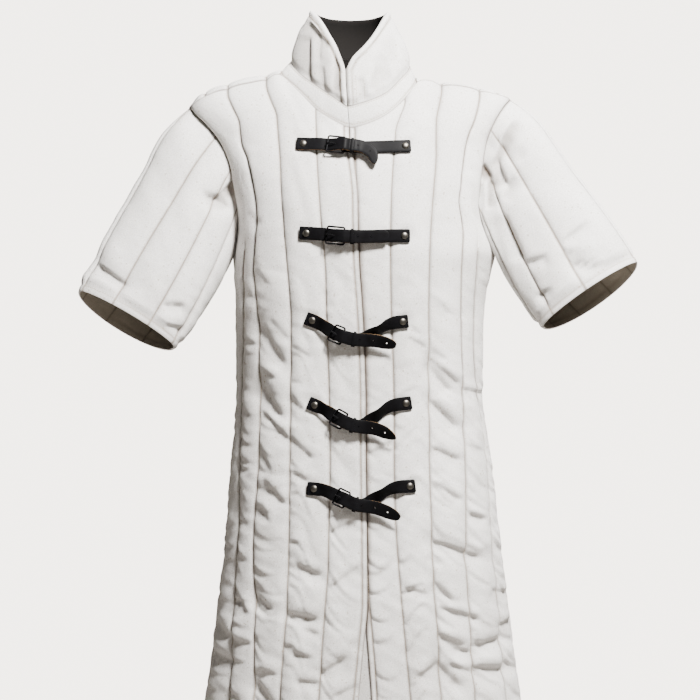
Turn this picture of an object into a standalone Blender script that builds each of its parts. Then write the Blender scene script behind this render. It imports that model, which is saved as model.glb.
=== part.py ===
"""A quilted gambeson: knee-length padded coat with elbow sleeves, a stand collar and five buckled straps.

The coat hangs as if it were worn, hollow and open at the neck, hem, cuffs and armholes. +Z is up and the
front faces -Y, so the wearer's right is at -X. The origin is the middle of the neck opening, level with the
top of the shoulders, where a wearer holds the coat up.

Every cloth piece is a wall. Its stitched skin is the outer surface where the quilting presses it flat. The
inside lies PRESSED_WALL below that skin and stays plain. The outside rises between the quilting lines.
"""

import math

import bmesh
import bpy
import numpy as np

# ---------------------------------------------------------------- driving sizes, in millimetres
SEAM_GAP = 0.4  # between the cut edges of two pieces at a seam
# Pieces whose walls lean alike where they meet, and the least cosine between a wall and that lean.
KIN = {"front": ("front", "back"), "back": ("front", "back"), "sleeve": ("sleeve",), "collar": ("collar",)}
SHARPEST_MITRE = 0.75
TURNED_GAP = 0.9  # the same where the collar's foot turns sharply over the shoulders
PRESSED_WALL = 3.2  # shell, padding and lining where stitching presses them flat
CROWN_RISE = 5.8  # how far the padding stands above the stitched skin between two quilting lines
PUFF_PER_WIDTH = 0.12  # a narrow channel rises by this share of its width at most
HEM_DROP = 1050.0
ARMPIT_DROP = 282.0
FRONT_ROLL = 75.0  # height in which the shoulder rolls over to the chest
BACK_ROLL = 60.0
LAP_LIFT = 4.8  # how far the upper front's edge stands off the lower one
LAP_REACH = 34.0  # width of cloth over which that lift fades out
LAP_START = 92.0  # drop below which the fronts overlap
EDGE_BAND = 8.0
COLUMN_INSET = 5.5  # least distance between two columns where the armhole cuts into a panel
ARMPIT_PUFF = 0.35  # share of the padding that is left beside the armpit
ARMPIT_ROWS = slice(9, 13)
COLLAR_WALL = 6.5
BAND_CROWN = 1.2  # how far the collar band bulges
SLEEVE_TILT = math.radians(17)  # the sleeves reach forward by this much
SLEEVE_SWELL = 7.0  # how far a sleeve bows out between armhole and cuff
SHOULDER_SWELL = 9.0  # how far it stands up more, near its top
CUFF_FRONT = 38.0  # depth of the cuff in front of its widest line, and behind it
CUFF_BACK = 76.0

# ---------------------------------------------------------------- tables, one row for each height or place
# Skin of the body. Above the armpit the sides are where the section would close if there were no arms.
BODY_COLUMNS = ("drop", "right_side", "left_side", "front", "back", "squareness")
BODY = (
    (-20, -294, 286, 54, 80, 2.4),
    (0, -290, 283, 58, 84, 2.4),
    (40, -280, 274, 66, 90, 2.4),
    (60, -264, 259, 72, 94, 2.4),
    (96, -236, 232, 86, 104, 2.4),
    (141, -216, 219, 104, 113, 2.4),
    (174, -204, 214, 114, 118, 2.4),
    (226, -188, 213, 124, 122, 2.4),
    (282, -187, 228, 128, 122, 2.4),
    (330, -184, 215, 129, 118, 2.4),
    (373, -184, 208, 129, 114, 2.4),
    (440, -182, 207, 128, 110, 2.4),
    (510, -182, 206, 129, 108, 2.4),
    (620, -191, 220, 137, 116, 2.35),
    (780, -204, 239, 152, 135, 2.25),
    (904, -220, 255, 164, 151, 2.2),
    (1000, -232, 268, 172, 162, 2.2),
    (1050, -240, 277, 176, 167, 2.2),
)
# Top of the shoulders across the coat, and how far below it the shoulder seam and the neckline run.
RIDGE_COLUMNS = ("x", "height")
RIDGE = (
    (-300, -84),
    (-262, -50),
    (-238, -29),
    (-206, -16),
    (-157, -6),
    (-115, 6),
    (-60, 9),
    (0, 9),
    (60, 4),
    (103, -7),
    (144, -11),
    (206, -20),
    (240, -29),
    (255, -36),
    (300, -74),
)
# Upper edge of the fronts: neckline, then shoulder seam.
FRONT_TOP_COLUMNS = ("x", "height")
FRONT_TOP = (
    (-262, -51.5),
    (-236, -36),
    (-200, -22),
    (-157, -13),
    (-138, -7),
    (-115, 0),
    (-86, -26),
    (-58, -54),
    (-30, -73),
    (-4, -84),
    (13, -83),
    (40, -72),
    (69, -54),
    (85, -37),
    (103, -13),
    (144, -16),
    (205, -25),
    (234, -32.5),
    (255, -37.5),
)
# Opening edges of the two fronts, and the quilting lines of each, from the opening to the side.
RIGHT_LINES_COLUMNS = ("drop", "edge", "line_1", "line_2", "line_3", "line_4")
RIGHT_LINES = (
    (0, -4.6, -62, -138, -206, -243),
    (60, -4.6, -58, -122, -184, -220),
    (100, -4.0, -57, -118, -178, -202),
    (136, 2, -56, -115, -176, -189),
    (184, 8, -53, -113, -171, -180),
    (240, 9.5, -49, -109, -165, -175),
    (300, 11, -43, -104, -158, -173),
    (370, 16, -41, -98, -151, -172),
    (488, 21, -37, -98, -148, -174),
    (627, 22, -35, -99, -149, -178),
    (731, 23.5, -37, -100, -156, -180),
    (800, 24, -39, -102, -156, -185),
    (850, 24, -43, -104, -154, -188),
    (904, 19, -47, -108, -155, -191),
    (1000, 10, -53, -115, -157, -195),
    (1050, 6, -56, -119, -160, -199),
)
LEFT_LINES_COLUMNS = ("drop", "edge", "line_1", "line_2", "line_3", "line_4")
LEFT_LINES = (
    (0, -3.7, 92, 145, 207, 240),
    (60, -3.7, 74, 136, 198, 225),
    (100, -3.2, 69, 134, 192, 210),
    (136, -2.5, 66, 134, 187, 202),
    (184, -2, 63, 130, 183, 196),
    (272, -1, 61, 124, 176, 200),
    (370, 4, 62, 122, 173, 194),
    (488, 9, 66, 123, 176, 196),
    (560, 10, 67, 123, 178, 206),
    (627, 11, 67, 123, 180, 214),
    (731, 13, 70, 127, 181, 221),
    (835, 19, 78, 131, 184, 231),
    (904, 25, 84, 137, 190, 237),
    (968, 30, 90, 140, 194, 243),
    (1050, 34, 98, 146, 198, 250),
)
# Armhole seams below the shoulder point, on the front and on the back.
ARMHOLE_COLUMNS = ("drop", "front_right", "front_left", "back_right", "back_left")
ARMHOLE = (
    (36, -275, 256, -276, 257),
    (51, -262, 243, -264, 246),
    (72, -240, 230, -246, 236),
    (96, -219, 219, -229, 227),
    (141, -197, 210, -208, 210.3),
    (174, -190, 206, -198, 206.3),
    (226, -183, 205, -184.5, 207.5),
    (245, -183.5, 213.4, -184.8, 214),
    (264, -185.6, 221.8, -186, 221.8),
    (282, -187, 228, -187, 228),
)
# Where the body's quilting lines meet the shoulder seam or the neckline, from the opening outwards.
RIGHT_TOP_X = (-4.6, -12.6, -58, -138, -200, -236, -262)
LEFT_TOP_X = (-3.7, 4.6, 85, 144, 205, 234, 255)
RIGHT_NECK_CORNER = -115.0
LEFT_NECK_CORNER = 103.0
# Columns between two quilting lines, as shares of the channel at the top and in the body.
RIGHT_CHANNELS = (
    ((), ()),
    ((0.37, 0.68), (1 / 3, 2 / 3)),
    ((0.35, 0.7125), (1 / 3, 2 / 3)),
    ((1 / 3, 2 / 3), (1 / 3, 2 / 3)),
    ((1 / 3, 2 / 3), (1 / 3, 2 / 3)),
    ((1 / 3, 2 / 3), (1 / 3, 2 / 3)),
)
LEFT_CHANNELS = (
    ((), ()),
    ((0.34, 0.68), (1 / 3, 2 / 3)),
    ((0.305, 0.66), (1 / 3, 2 / 3)),
    ((1 / 3, 2 / 3), (1 / 3, 2 / 3)),
    ((1 / 3, 2 / 3), (1 / 3, 2 / 3)),
    ((1 / 3, 2 / 3), (1 / 3, 2 / 3)),
)
# Upper edge of the back between the neck corners: how far below the ridge it lies on the back.
# Back of the neck: x, and how far behind the ridge the neckline lies there.
BACK_NECK = ((-111, 0.6), (-92, 8), (-58, 14), (-29, 17), (0, 18), (27, 17), (54, 14), (84, 8), (100, 0.6))
# Shares of the way from the upper edge down to the armpit, and heights of the rows below it.
UPPER_SHARES = (0, 0.05, 0.12, 0.20, 0.27, 0.35, 0.43, 0.52, 0.61, 0.70, 0.80, 0.90, 1)
LOWER_DROPS = tuple(ARMPIT_DROP + 33.5 * step for step in range(1, 22)) + (1018.0, 1038.0, HEM_DROP)
# The largest folds: soft troughs along a line in the front view.
# Columns: from x, from height, to x, to height, depth.
FOLD_WIDTH = 17.0  # half the width of a trough
FOLDS = {
    "front": (
        (-144, -400, -107, -464, 4.0),
        (-144, -496, -112, -547, 4.5),
        (-88, -781, -54, -797, 3.5),
        (-150, -832, -131, -851, 4.5),
        (-99, -858, -59, -867, 4.0),
        (-224, -923, -198, -933, 4.0),
        (-150, -968, -128, -1000, 4.5),
        (-60, -958, -24, -938, 3.0),
        (122, -464, 157, -506, 4.5),
        (125, -520, 170, -565, 4.0),
        (128, -744, 208, -773, 4.5),
        (166, -915, 237, -901, 4.5),
        (134, -936, 170, -973, 5.0),
        (192, -950, 242, -952, 4.0),
    ),
    "back": (
        (-125, -640, -70, -676, 4.0),
        (88, -560, 146, -602, 4.5),
        (-40, -820, 28, -842, 3.5),
        (102, -880, 176, -866, 4.5),
        (-172, -905, -118, -938, 4.5),
    ),
    "sleeve_right": ((-190, -173, -232, -196, 4.0), (-406, -302, -360, -336, 3.5)),
    "sleeve_left": ((234, -122, 250, -176, 4.5), (352, -301, 424, -299, 3.5)),
}
# Cuffs in the front view, and where the sleeve's quilting lines meet them, in degrees round the cuff.
# Cuffs in the front view. Columns: outer x, outer height, inner x, inner height.
SLEEVES = {"right": (-437, -346, -283, -437), "left": (456, -300, 304, -404)}
SLEEVE_LINES = {
    "right": (20, 70, 113, 156, 200, 245, 290, 335, 380),
    "left": (8, 91, 136, 178, 215, 252, 292, 330, 368),
}
SLEEVE_SHARES = (0, 0.05, 0.13, 0.23, 0.35, 0.47, 0.59, 0.71, 0.83, 0.93, 1)
# Five closures. All places are in the front view: x, then height. The long tongue strap starts at its rivet
# on the wearer's right, passes through the buckle and ends in its tail. The buckle strap starts on the left.
# Columns: tongue path, buckle strap path, buckle's middle and length along the tongue, gap to the keeper.
CLOSURES = (
    (((-88, -113), (-50, -115), (-25, -118), (0, -120), (20, -123), (31, -132), (36, -149)),
     ((93, -117), (60, -118), (34, -119)), 63.0, 27.0, 12.0),
    (((-82, -254), (-50, -256), (-25, -259), (0, -260.5), (30, -260.5), (58, -260)),
     ((91, -259), (60, -259), (30, -260)), 57.0, 27.0, 12.0),
    (((-72, -389), (-50, -398), (-25, -414), (0, -422), (40, -426), (68, -433)),
     ((88, -394), (60, -398), (38, -410)), 56.0, 18.0, 18.0),
    (((-68, -524), (-45, -534), (-24, -548), (0, -560), (38, -567), (68, -582)),
     ((93, -524), (60, -530), (36, -547)), 55.0, 18.0, 15.0),
    (((-70, -660), (-45, -663), (-18, -675), (6, -686), (38, -692), (74, -708)),
     ((99, -656), (62, -661), (38, -675)), 57.0, 18.0, 15.0),
)
STRAP_WIDTH = 21.0
STRAP_THICKNESS = 2.6
ON_CLOTH = 7.4  # middle of a strap that lies on the padding, above the stitched skin
UNDER_KEEPER = 11.6  # middle of the buckle strap where the keeper goes round it
GAP = 0.3  # between two hard pieces that touch
SPARE = 0.5  # room between layers of leather that bend differently
PRONG = 1.1  # radius of the prong
WIRE = 3.0  # thickness of the buckle frame
BUCKLE_CORNER = 2.2  # how far a corner of the frame is cut along its side
FRAME_CLEAR = 1.2  # room between the strap's edge and the frame
KEEPER_HALF = 2.4  # half the keeper's width
KEEPER_WALL = 1.0
RIVET_RADIUS = 5.8
RIVET_RISE = 2.8
TONGUE_RIVET = 11.0  # from a strap's end to its rivet
BUCKLE_RIVET = 8.5
TIP = (0.97, 0.8, 0.42)  # how the tongue's last three places narrow to its tip

# Collar, from the right front edge round the neck to the left one: its foot on the band, and its rim.
# Columns: foot x, y, z and rim x, y, z.
COLLAR = (
    (-7.5, -77, -50, -10.5, -70, 8),
    (-14, -76, -46, -14, -66, 20),
    (-29, -72, -35, -20, -59, 36),
    (-42, -67, -26, -27, -51, 52),
    (-55, -61, -17, -35, -42, 66),
    (-78, -44, 0, -49, -22, 90),
    (-95, -16, 18, -61, -2, 105),
    (-96, 4, 28, -62, 12, 106),
    (-80, 28, 32, -55, 32, 102),
    (-52, 43, 32, -38, 46, 97),
    (-26, 51, 31, -19, 52, 95),
    (0, 54, 30, -2, 54, 94.5),
    (25, 52, 29, 16, 52, 95),
    (50, 43, 28, 34, 46, 97),
    (76, 28, 27, 49, 31, 101),
    (91, 6, 22, 55, 12, 103),
    (91, -14, 12, 54, -3, 102),
    (76, -38, -6, 44, -24, 84),
    (56, -56, -26, 31, -42, 63),
    (32, -69, -38, 17, -56, 46),
    (5, -77, -47, 0, -66, 28),
    (-6.4, -78, -50, -9.4, -70, 8),
)
COLLAR_SWELL = 5.0  # how far the collar bows out between its foot and its rim

COTTON = ((0.80, 0.77, 0.73, 1), 0.9, 0.0)
LEATHER = ((0.02, 0.02, 0.02, 1), 0.45, 0.0)
BLACK_STEEL = ((0.03, 0.03, 0.03, 1), 0.35, 0.9)
BRIGHT_STEEL = ((0.6, 0.59, 0.57, 1), 0.3, 1.0)


# ---------------------------------------------------------------- curves and sections
def curve(places, values, at):
    """A smooth curve through the values, which doesn't leave their range at its ends."""
    places = np.asarray(places, float)
    values = np.asarray(values, float)
    slopes = np.gradient(values, places)
    at = np.clip(at, places[0], places[-1])
    i = np.clip(np.searchsorted(places, at) - 1, 0, len(places) - 2)
    width = places[i + 1] - places[i]
    t = (at - places[i]) / width
    start = values[i] * (2 * t**3 - 3 * t**2 + 1) + slopes[i] * width * (t**3 - 2 * t**2 + t)
    return start + values[i + 1] * (3 * t**2 - 2 * t**3) + slopes[i + 1] * width * (t**3 - t**2)


def column(table, names, name, at):
    places = [row[0] for row in table]
    values = [row[names.index(name)] for row in table]
    return curve(places, values, at)


def fade(value):
    """0 up to 0, 1 from 1, smooth between."""
    value = np.clip(value, 0, 1)
    return value * value * (3 - 2 * value)


def section(drop):
    """Middle, half width, front depth, back depth and squareness of the body at a height."""
    right, left, front, back, power = (column(BODY, BODY_COLUMNS, name, drop) for name in BODY_COLUMNS[1:])
    return (right + left) / 2, (left - right) / 2, front, back, power


def turn_of(x, drop):
    """Where x lies round the section: -1 at the right side, 0 in the middle, 1 at the left side."""
    middle, half, _, _, power = section(drop)
    across = np.clip((x - middle) / half, -1, 1)
    return np.sign(across) * np.arcsin(np.abs(across) ** (power / 2)) * 2 / math.pi


def x_at(turn, drop):
    middle, half, _, _, power = section(drop)
    return middle + half * np.sign(turn) * np.abs(np.sin(turn * math.pi / 2)) ** (2 / power)


def skin(x, below_ridge, face):
    """A point of the stitched skin at a drop below the ridge. face -1 is the front, 1 the back."""
    ridge = column(RIDGE, RIDGE_COLUMNS, "height", x)
    drop = below_ridge - ridge
    middle, half, front, back, power = section(drop)
    across = np.clip(abs((x - middle) / half), 0, 1)
    depth = (front if face < 0 else back) * (1 - across**power) ** (1 / power)
    roll = min(below_ridge / (FRONT_ROLL if face < 0 else BACK_ROLL), 1)
    return np.array((x, face * depth * math.sqrt(max(0, 1 - (1 - roll) ** 2)), -drop))


def on_front(x, z):
    return skin(x, column(RIDGE, RIDGE_COLUMNS, "height", x) - z, -1)


def front_normal(x, z):
    """Which way the front faces at x and z."""
    step = 2.0
    across = on_front(x + step, z) - on_front(x - step, z)
    down = on_front(x, z - step) - on_front(x, z + step)
    normal = np.cross(down, across)
    return normal / np.linalg.norm(normal)


# ---------------------------------------------------------------- grids of the panels
def channel_columns(top_x, channels):
    """(line index, share at the top, share in the body) for each column, from the opening to the side."""
    found = []
    for line, (top, body) in enumerate(channels):
        found.append((line, 0, 0))
        found += [(line, a, b) for a, b in zip(top, body)]
    return found + [(len(top_x) - 1, 0, 0)]


def front_grid(side):
    """Skin points of a front, [column][row], and how far across its channel each column lies."""
    right = side == "right"
    table, names = (RIGHT_LINES, RIGHT_LINES_COLUMNS) if right else (LEFT_LINES, LEFT_LINES_COLUMNS)
    top_x, channels = (RIGHT_TOP_X, RIGHT_CHANNELS) if right else (LEFT_TOP_X, LEFT_CHANNELS)
    band = -EDGE_BAND if right else EDGE_BAND

    def line_x(line, drop):
        if line < 2:
            return column(table, names, "edge", drop) + band * line
        if line < 6:
            return column(table, names, f"line_{line - 1}", drop)
        if drop < ARMPIT_DROP:
            return column(ARMHOLE, ARMHOLE_COLUMNS, f"front_{side}", drop)
        return x_at(-1 if right else 1, drop)

    grid, shares = [], []
    layout = channel_columns(top_x, channels)
    for place, (line, top_share, body_share) in enumerate(layout):
        last = line == len(top_x) - 1
        next_line = line if last else line + 1
        start_x = top_x[line] + (top_x[next_line] - top_x[line]) * top_share
        start = -column(FRONT_TOP, FRONT_TOP_COLUMNS, "height", start_x)
        points = []
        for row, share in enumerate(UPPER_SHARES + LOWER_DROPS):
            upper = row < len(UPPER_SHARES)
            drop = start + (ARMPIT_DROP - start) * share if upper else share
            settled = fade(share / 0.35) if upper else 1
            here = top_share + (body_share - top_share) * settled
            turn = turn_of(line_x(line, drop), drop)
            turn += (turn_of(line_x(next_line, drop), drop) - turn) * here
            held = 1 - fade(share / 0.2) if upper and not last else 0
            x = x_at(turn, drop) * (1 - held) + start_x * held
            if row and upper:
                inset = COLUMN_INSET * (len(layout) - 1 - place)
                limit = abs(column(ARMHOLE, ARMHOLE_COLUMNS, f"front_{side}", drop)) - inset
                x = max(x, -limit) if right else min(x, limit)
            if right:
                over = column(table, names, "edge", drop) - x
                lift = LAP_LIFT * fade((drop - LAP_START) / 20) * fade(1 - over / LAP_REACH)
            else:
                lift = 0
            points.append(on_front(x, -drop) + lift * front_normal(x, -drop))
        grid.append(points)
        shares.append(body_share)
    return np.array(grid), shares


def back_grid(right_front, left_front):
    """Skin points of the back, from the right side seam to the left one, with the fronts' shoulders."""
    shoulder = {}
    for side, grid, corner in (
        ("right", right_front, RIGHT_NECK_CORNER),
        ("left", left_front, LEFT_NECK_CORNER),
    ):
        first = int(np.argmin(abs(grid[:, 0, 0] - corner)))
        shoulder[side] = [(grid[k, 0], k) for k in range(first, len(grid))]
    starts = [(point[0], point, None) for point, _ in reversed(shoulder["right"])]
    starts += [(x, None, behind) for x, behind in BACK_NECK]
    starts += [(point[0], point, None) for point, _ in shoulder["left"]]
    # Quilting lines: side, line 4, 3, 2, then 1, the middle and 1 again, and so on to the other side.
    count = len(starts)
    marks = [0, 3, 6, 9, 13, 15, 17, 22, 25, 28, count - 1]
    line_turns = [-1, -0.8, -0.6, -0.4, -0.2, 0, 0.2, 0.4, 0.6, 0.8, 1]
    grid, shares = [], []
    for k, (start_x, seam_point, behind) in enumerate(starts):
        channel = min(np.searchsorted(marks, k, side="right") - 1, len(marks) - 2)
        share = (k - marks[channel]) / (marks[channel + 1] - marks[channel])
        turn = line_turns[channel] + (line_turns[channel + 1] - line_turns[channel]) * share
        ridge = column(RIDGE, RIDGE_COLUMNS, "height", start_x)
        start = -(ridge - seam_point[2]) if seam_point is not None else behind
        second = max(0.0, start + 6)
        points = []
        for row, share_down in enumerate(UPPER_SHARES + LOWER_DROPS):
            if row == 0:
                points.append(seam_point if seam_point is not None else skin(start_x, start, 1))
                continue
            if row < len(UPPER_SHARES):
                along = (share_down - UPPER_SHARES[1]) / (1 - UPPER_SHARES[1])
                below = second + (ARMPIT_DROP + ridge - second) * along
                drop = below - ridge
                settled = fade(along / 0.6)
            else:
                drop, settled = share_down, 1
            if abs(turn) == 1 and drop < ARMPIT_DROP:
                name = "back_right" if turn < 0 else "back_left"
                x = column(ARMHOLE, ARMHOLE_COLUMNS, name, drop)
            else:
                x = x_at(turn, drop)
                x = start_x + (x - start_x) * settled
                limit = [column(ARMHOLE, ARMHOLE_COLUMNS, n, drop) for n in ("back_right", "back_left")]
                if drop < ARMPIT_DROP:
                    inset = COLUMN_INSET * min(k, count - 1 - k)
                    x = min(max(x, limit[0] + inset), limit[1] - inset)
            local_ridge = column(RIDGE, RIDGE_COLUMNS, "height", x)
            points.append(skin(x, max(0.0, drop + local_ridge), 1))
        grid.append(points)
        shares.append(0 if k in marks else share)
    grid = np.array(grid)
    grid[0, len(UPPER_SHARES) - 1 :] = right_front[-1, len(UPPER_SHARES) - 1 :]
    grid[-1, len(UPPER_SHARES) - 1 :] = left_front[-1, len(UPPER_SHARES) - 1 :]
    return grid, shares


def sleeve_grid(side, armhole):
    """Skin points of a sleeve, [place round it][row], from the closed armhole ring down to the cuff."""
    outer_x, outer_z, inner_x, inner_z = SLEEVES[side]
    outer, inner = np.array((outer_x, 0, outer_z)), np.array((inner_x, 0, inner_z))
    middle, half = (outer + inner) / 2, np.linalg.norm(outer - inner) / 2
    across = (outer - inner) / (2 * half)
    axis = np.array((-across[2], 0, across[0])) * (1 if side == "left" else -1)
    axis = axis if axis[2] < 0 else -axis
    forward = np.array((0, -math.cos(SLEEVE_TILT), 0)) - axis * math.sin(SLEEVE_TILT)
    reach = np.linalg.norm(middle - armhole.mean(axis=0))
    middle = middle + np.array((0, -reach * math.sin(SLEEVE_TILT), 0))
    lines = SLEEVE_LINES[side]
    grid = []
    for k, start in enumerate(armhole):
        channel, part = divmod(k, 3)
        angle = math.radians(lines[channel] + (lines[channel + 1] - lines[channel]) * part / 3)
        depth = CUFF_FRONT if math.sin(angle) > 0 else CUFF_BACK
        end = middle + across * half * math.cos(angle) + forward * depth * math.sin(angle)
        points = []
        for share in SLEEVE_SHARES:
            centre = armhole.mean(axis=0) * (1 - share) + middle * share
            point = start * (1 - share) + end * share
            out = (point - centre) / np.linalg.norm(point - centre)
            top = max(0.0, math.cos(angle - math.radians(10)))
            swell = SLEEVE_SWELL * math.sin(math.pi * share)
            swell += SHOULDER_SWELL * top * math.sin(math.pi * min(1, share / 0.4))
            points.append(point + out * swell * (share > 0))
        grid.append(points)
    return np.array(grid)


# ---------------------------------------------------------------- walls
def clear_scene():
    for thing in list(bpy.data.objects):
        bpy.data.objects.remove(thing, do_unlink=True)


def finish_of(name, look):
    colour, roughness, metallic = look
    material = bpy.data.materials.new(name)
    material.use_nodes = True
    shader = material.node_tree.nodes["Principled BSDF"]
    shader.inputs["Base Color"].default_value = colour
    shader.inputs["Roughness"].default_value = roughness
    shader.inputs["Metallic"].default_value = metallic
    return material


def add_object(name, data, look):
    data.materials.append(finish_of(name, look))
    bpy.context.scene.collection.objects.link(bpy.data.objects.new(name, data))


def outward(grids, closed, middles):
    """A direction for every skin point. Where two pieces meet they share it, so their walls meet too."""
    sums, keys, alone = {}, {}, {}
    for name, grid in grids.items():
        around = np.concatenate([grid, grid[:1]]) if closed[name] else grid
        across = around[1:, :-1] - around[:-1, :-1]
        down = around[:-1, 1:] - around[:-1, :-1]
        other_across = around[1:, 1:] - around[:-1, 1:]
        other_down = around[1:, 1:] - around[1:, :-1]
        facing = np.cross(across + other_across, down + other_down)
        away = (around[:-1, :-1] - middles[name](around[:-1, :-1])) * facing
        facing *= np.sign(away.sum())
        keys[name] = np.round(grid, 2)
        alone[name] = np.zeros(grid.shape)
        count = len(grid)
        for (i, j), _ in np.ndenumerate(facing[:, :, 0]):
            for a, b in ((i, j), (i + 1, j), (i, j + 1), (i + 1, j + 1)):
                alone[name][a % count, b] += facing[i, j]
    for name, grid in grids.items():
        alone[name] /= np.linalg.norm(alone[name], axis=2, keepdims=True)
        for place, direction in zip(keys[name].reshape(-1, 3), alone[name].reshape(-1, 3)):
            sums.setdefault(tuple(place), {})[name] = direction

    def shared_by(met):
        middle = sum(met.values())
        middle = middle / np.linalg.norm(middle)
        return middle if min(way.dot(middle) for way in met.values()) > SHARPEST_MITRE else None

    found = {}
    for name, grid in grids.items():
        found[name] = alone[name].copy()
        for (i, j), _ in np.ndenumerate(grid[:, :, 0]):
            met = sums[tuple(keys[name][i, j])]
            kinds = KIN[name.split("_")[0]]
            kin = {other: way for other, way in met.items() if other.split("_")[0] in kinds}
            for group in (met, kin):
                shared = shared_by(group)
                if shared is not None:
                    found[name][i, j] = shared
                    break
    return found


def parted(grid, closed, ends, gap=SEAM_GAP):
    """The grid with its sewn edges drawn in by half a gap. ends: top, bottom, first and last."""
    drawn = grid.copy()
    half = gap / 2

    def towards(edge, inner):
        step = inner - edge
        return half * step / np.linalg.norm(step, axis=-1, keepdims=True)

    if "top" in ends:
        drawn[:, 0] += towards(grid[:, 0], grid[:, 1])
    if "bottom" in ends:
        drawn[:, -1] += towards(grid[:, -1], grid[:, -2])
    if not closed:
        if "first" in ends:
            drawn[0] += towards(grid[0], grid[1])
        if "last" in ends:
            drawn[-1] += towards(grid[-1], grid[-2])
    return drawn


def wall(name, inner, outer, closed, look):
    """A closed wall between two grids of points in millimetres: one grid, extruded to the other."""
    columns, rows = inner.shape[:2]
    cells = columns if closed else columns - 1
    mesh = bmesh.new()
    bmesh.ops.create_grid(mesh, x_segments=cells, y_segments=rows - 1, size=1)
    place = mesh.verts.layers.int.new("place")
    inside, outside = inner.reshape(-1, 3) * 0.001, outer.reshape(-1, 3) * 0.001
    for vertex in mesh.verts:
        along = round((vertex.co.x + 1) / 2 * cells) % columns
        vertex[place] = along * rows + round((vertex.co.y + 1) / 2 * (rows - 1))
        vertex.co = inside[vertex[place]]
    if closed:
        bmesh.ops.remove_doubles(mesh, verts=mesh.verts, dist=1e-7)
    made = bmesh.ops.extrude_face_region(mesh, geom=mesh.faces[:])
    for vertex in made["geom"]:
        if isinstance(vertex, bmesh.types.BMVert):
            vertex.co = outside[vertex[place]]
    mesh.normal_update()
    bmesh.ops.recalc_face_normals(mesh, faces=mesh.faces[:])
    data = bpy.data.meshes.new(name)
    mesh.to_mesh(data)
    mesh.free()
    data.shade_smooth()
    data.set_sharp_from_angle(angle=math.radians(40))
    add_object(name, data, look)


def rises(grid, shares, top_row_rise=0.0):
    """How far the padding stands above the skin at each point, from how wide its channel is there."""
    lines = [k for k, share in enumerate(shares) if share == 0]
    found = np.zeros(grid.shape[:2])
    for first, last in zip(lines, lines[1:]):
        width = np.linalg.norm(grid[last] - grid[first], axis=1)
        for k in range(first + 1, last):
            puff = math.sin(math.pi * shares[k]) ** 0.7
            found[k] = puff * np.minimum(CROWN_RISE, PUFF_PER_WIDTH * width)
    found[:, 0] = top_row_rise
    found[:, -1] *= 0.3
    return found


def folded(points, directions, folds):
    """Points pressed in along their directions by the troughs."""
    depth = np.zeros(points.shape[:2])
    for from_x, from_z, to_x, to_z, deepest in folds:
        start, way = np.array((from_x, from_z)), np.array((to_x - from_x, to_z - from_z))
        offset = points[:, :, ::2] - start
        along = np.clip((offset @ way) / way.dot(way), 0, 1)
        away = np.linalg.norm(offset - along[:, :, None] * way, axis=2)
        depth = np.maximum(depth, deepest * np.exp(-((away / FOLD_WIDTH) ** 2)))
    return points - depth[:, :, None] * directions


def cloth(name, grid, directions, rise, closed, ends, gap=SEAM_GAP):
    """A cloth piece as a wall: plain inside, risen by its padding outside."""
    drawn = parted(grid, closed, ends, gap)
    inner = drawn - PRESSED_WALL * directions[name]
    outer = drawn + rise[:, :, None] * directions[name]
    wall(name, inner, outer, closed, COTTON)


# ---------------------------------------------------------------- the cloth
def neck_ring(right_front, left_front, back):
    """The neckline from the right front edge round the back to the left one, as the panels have it."""
    right = [right_front[k, 0] for k in range(7)]
    behind = [back[k, 0] for k in range(11, 20)]
    left = [left_front[k, 0] for k in range(5, -1, -1)]
    return np.array(right + behind + left)


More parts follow.
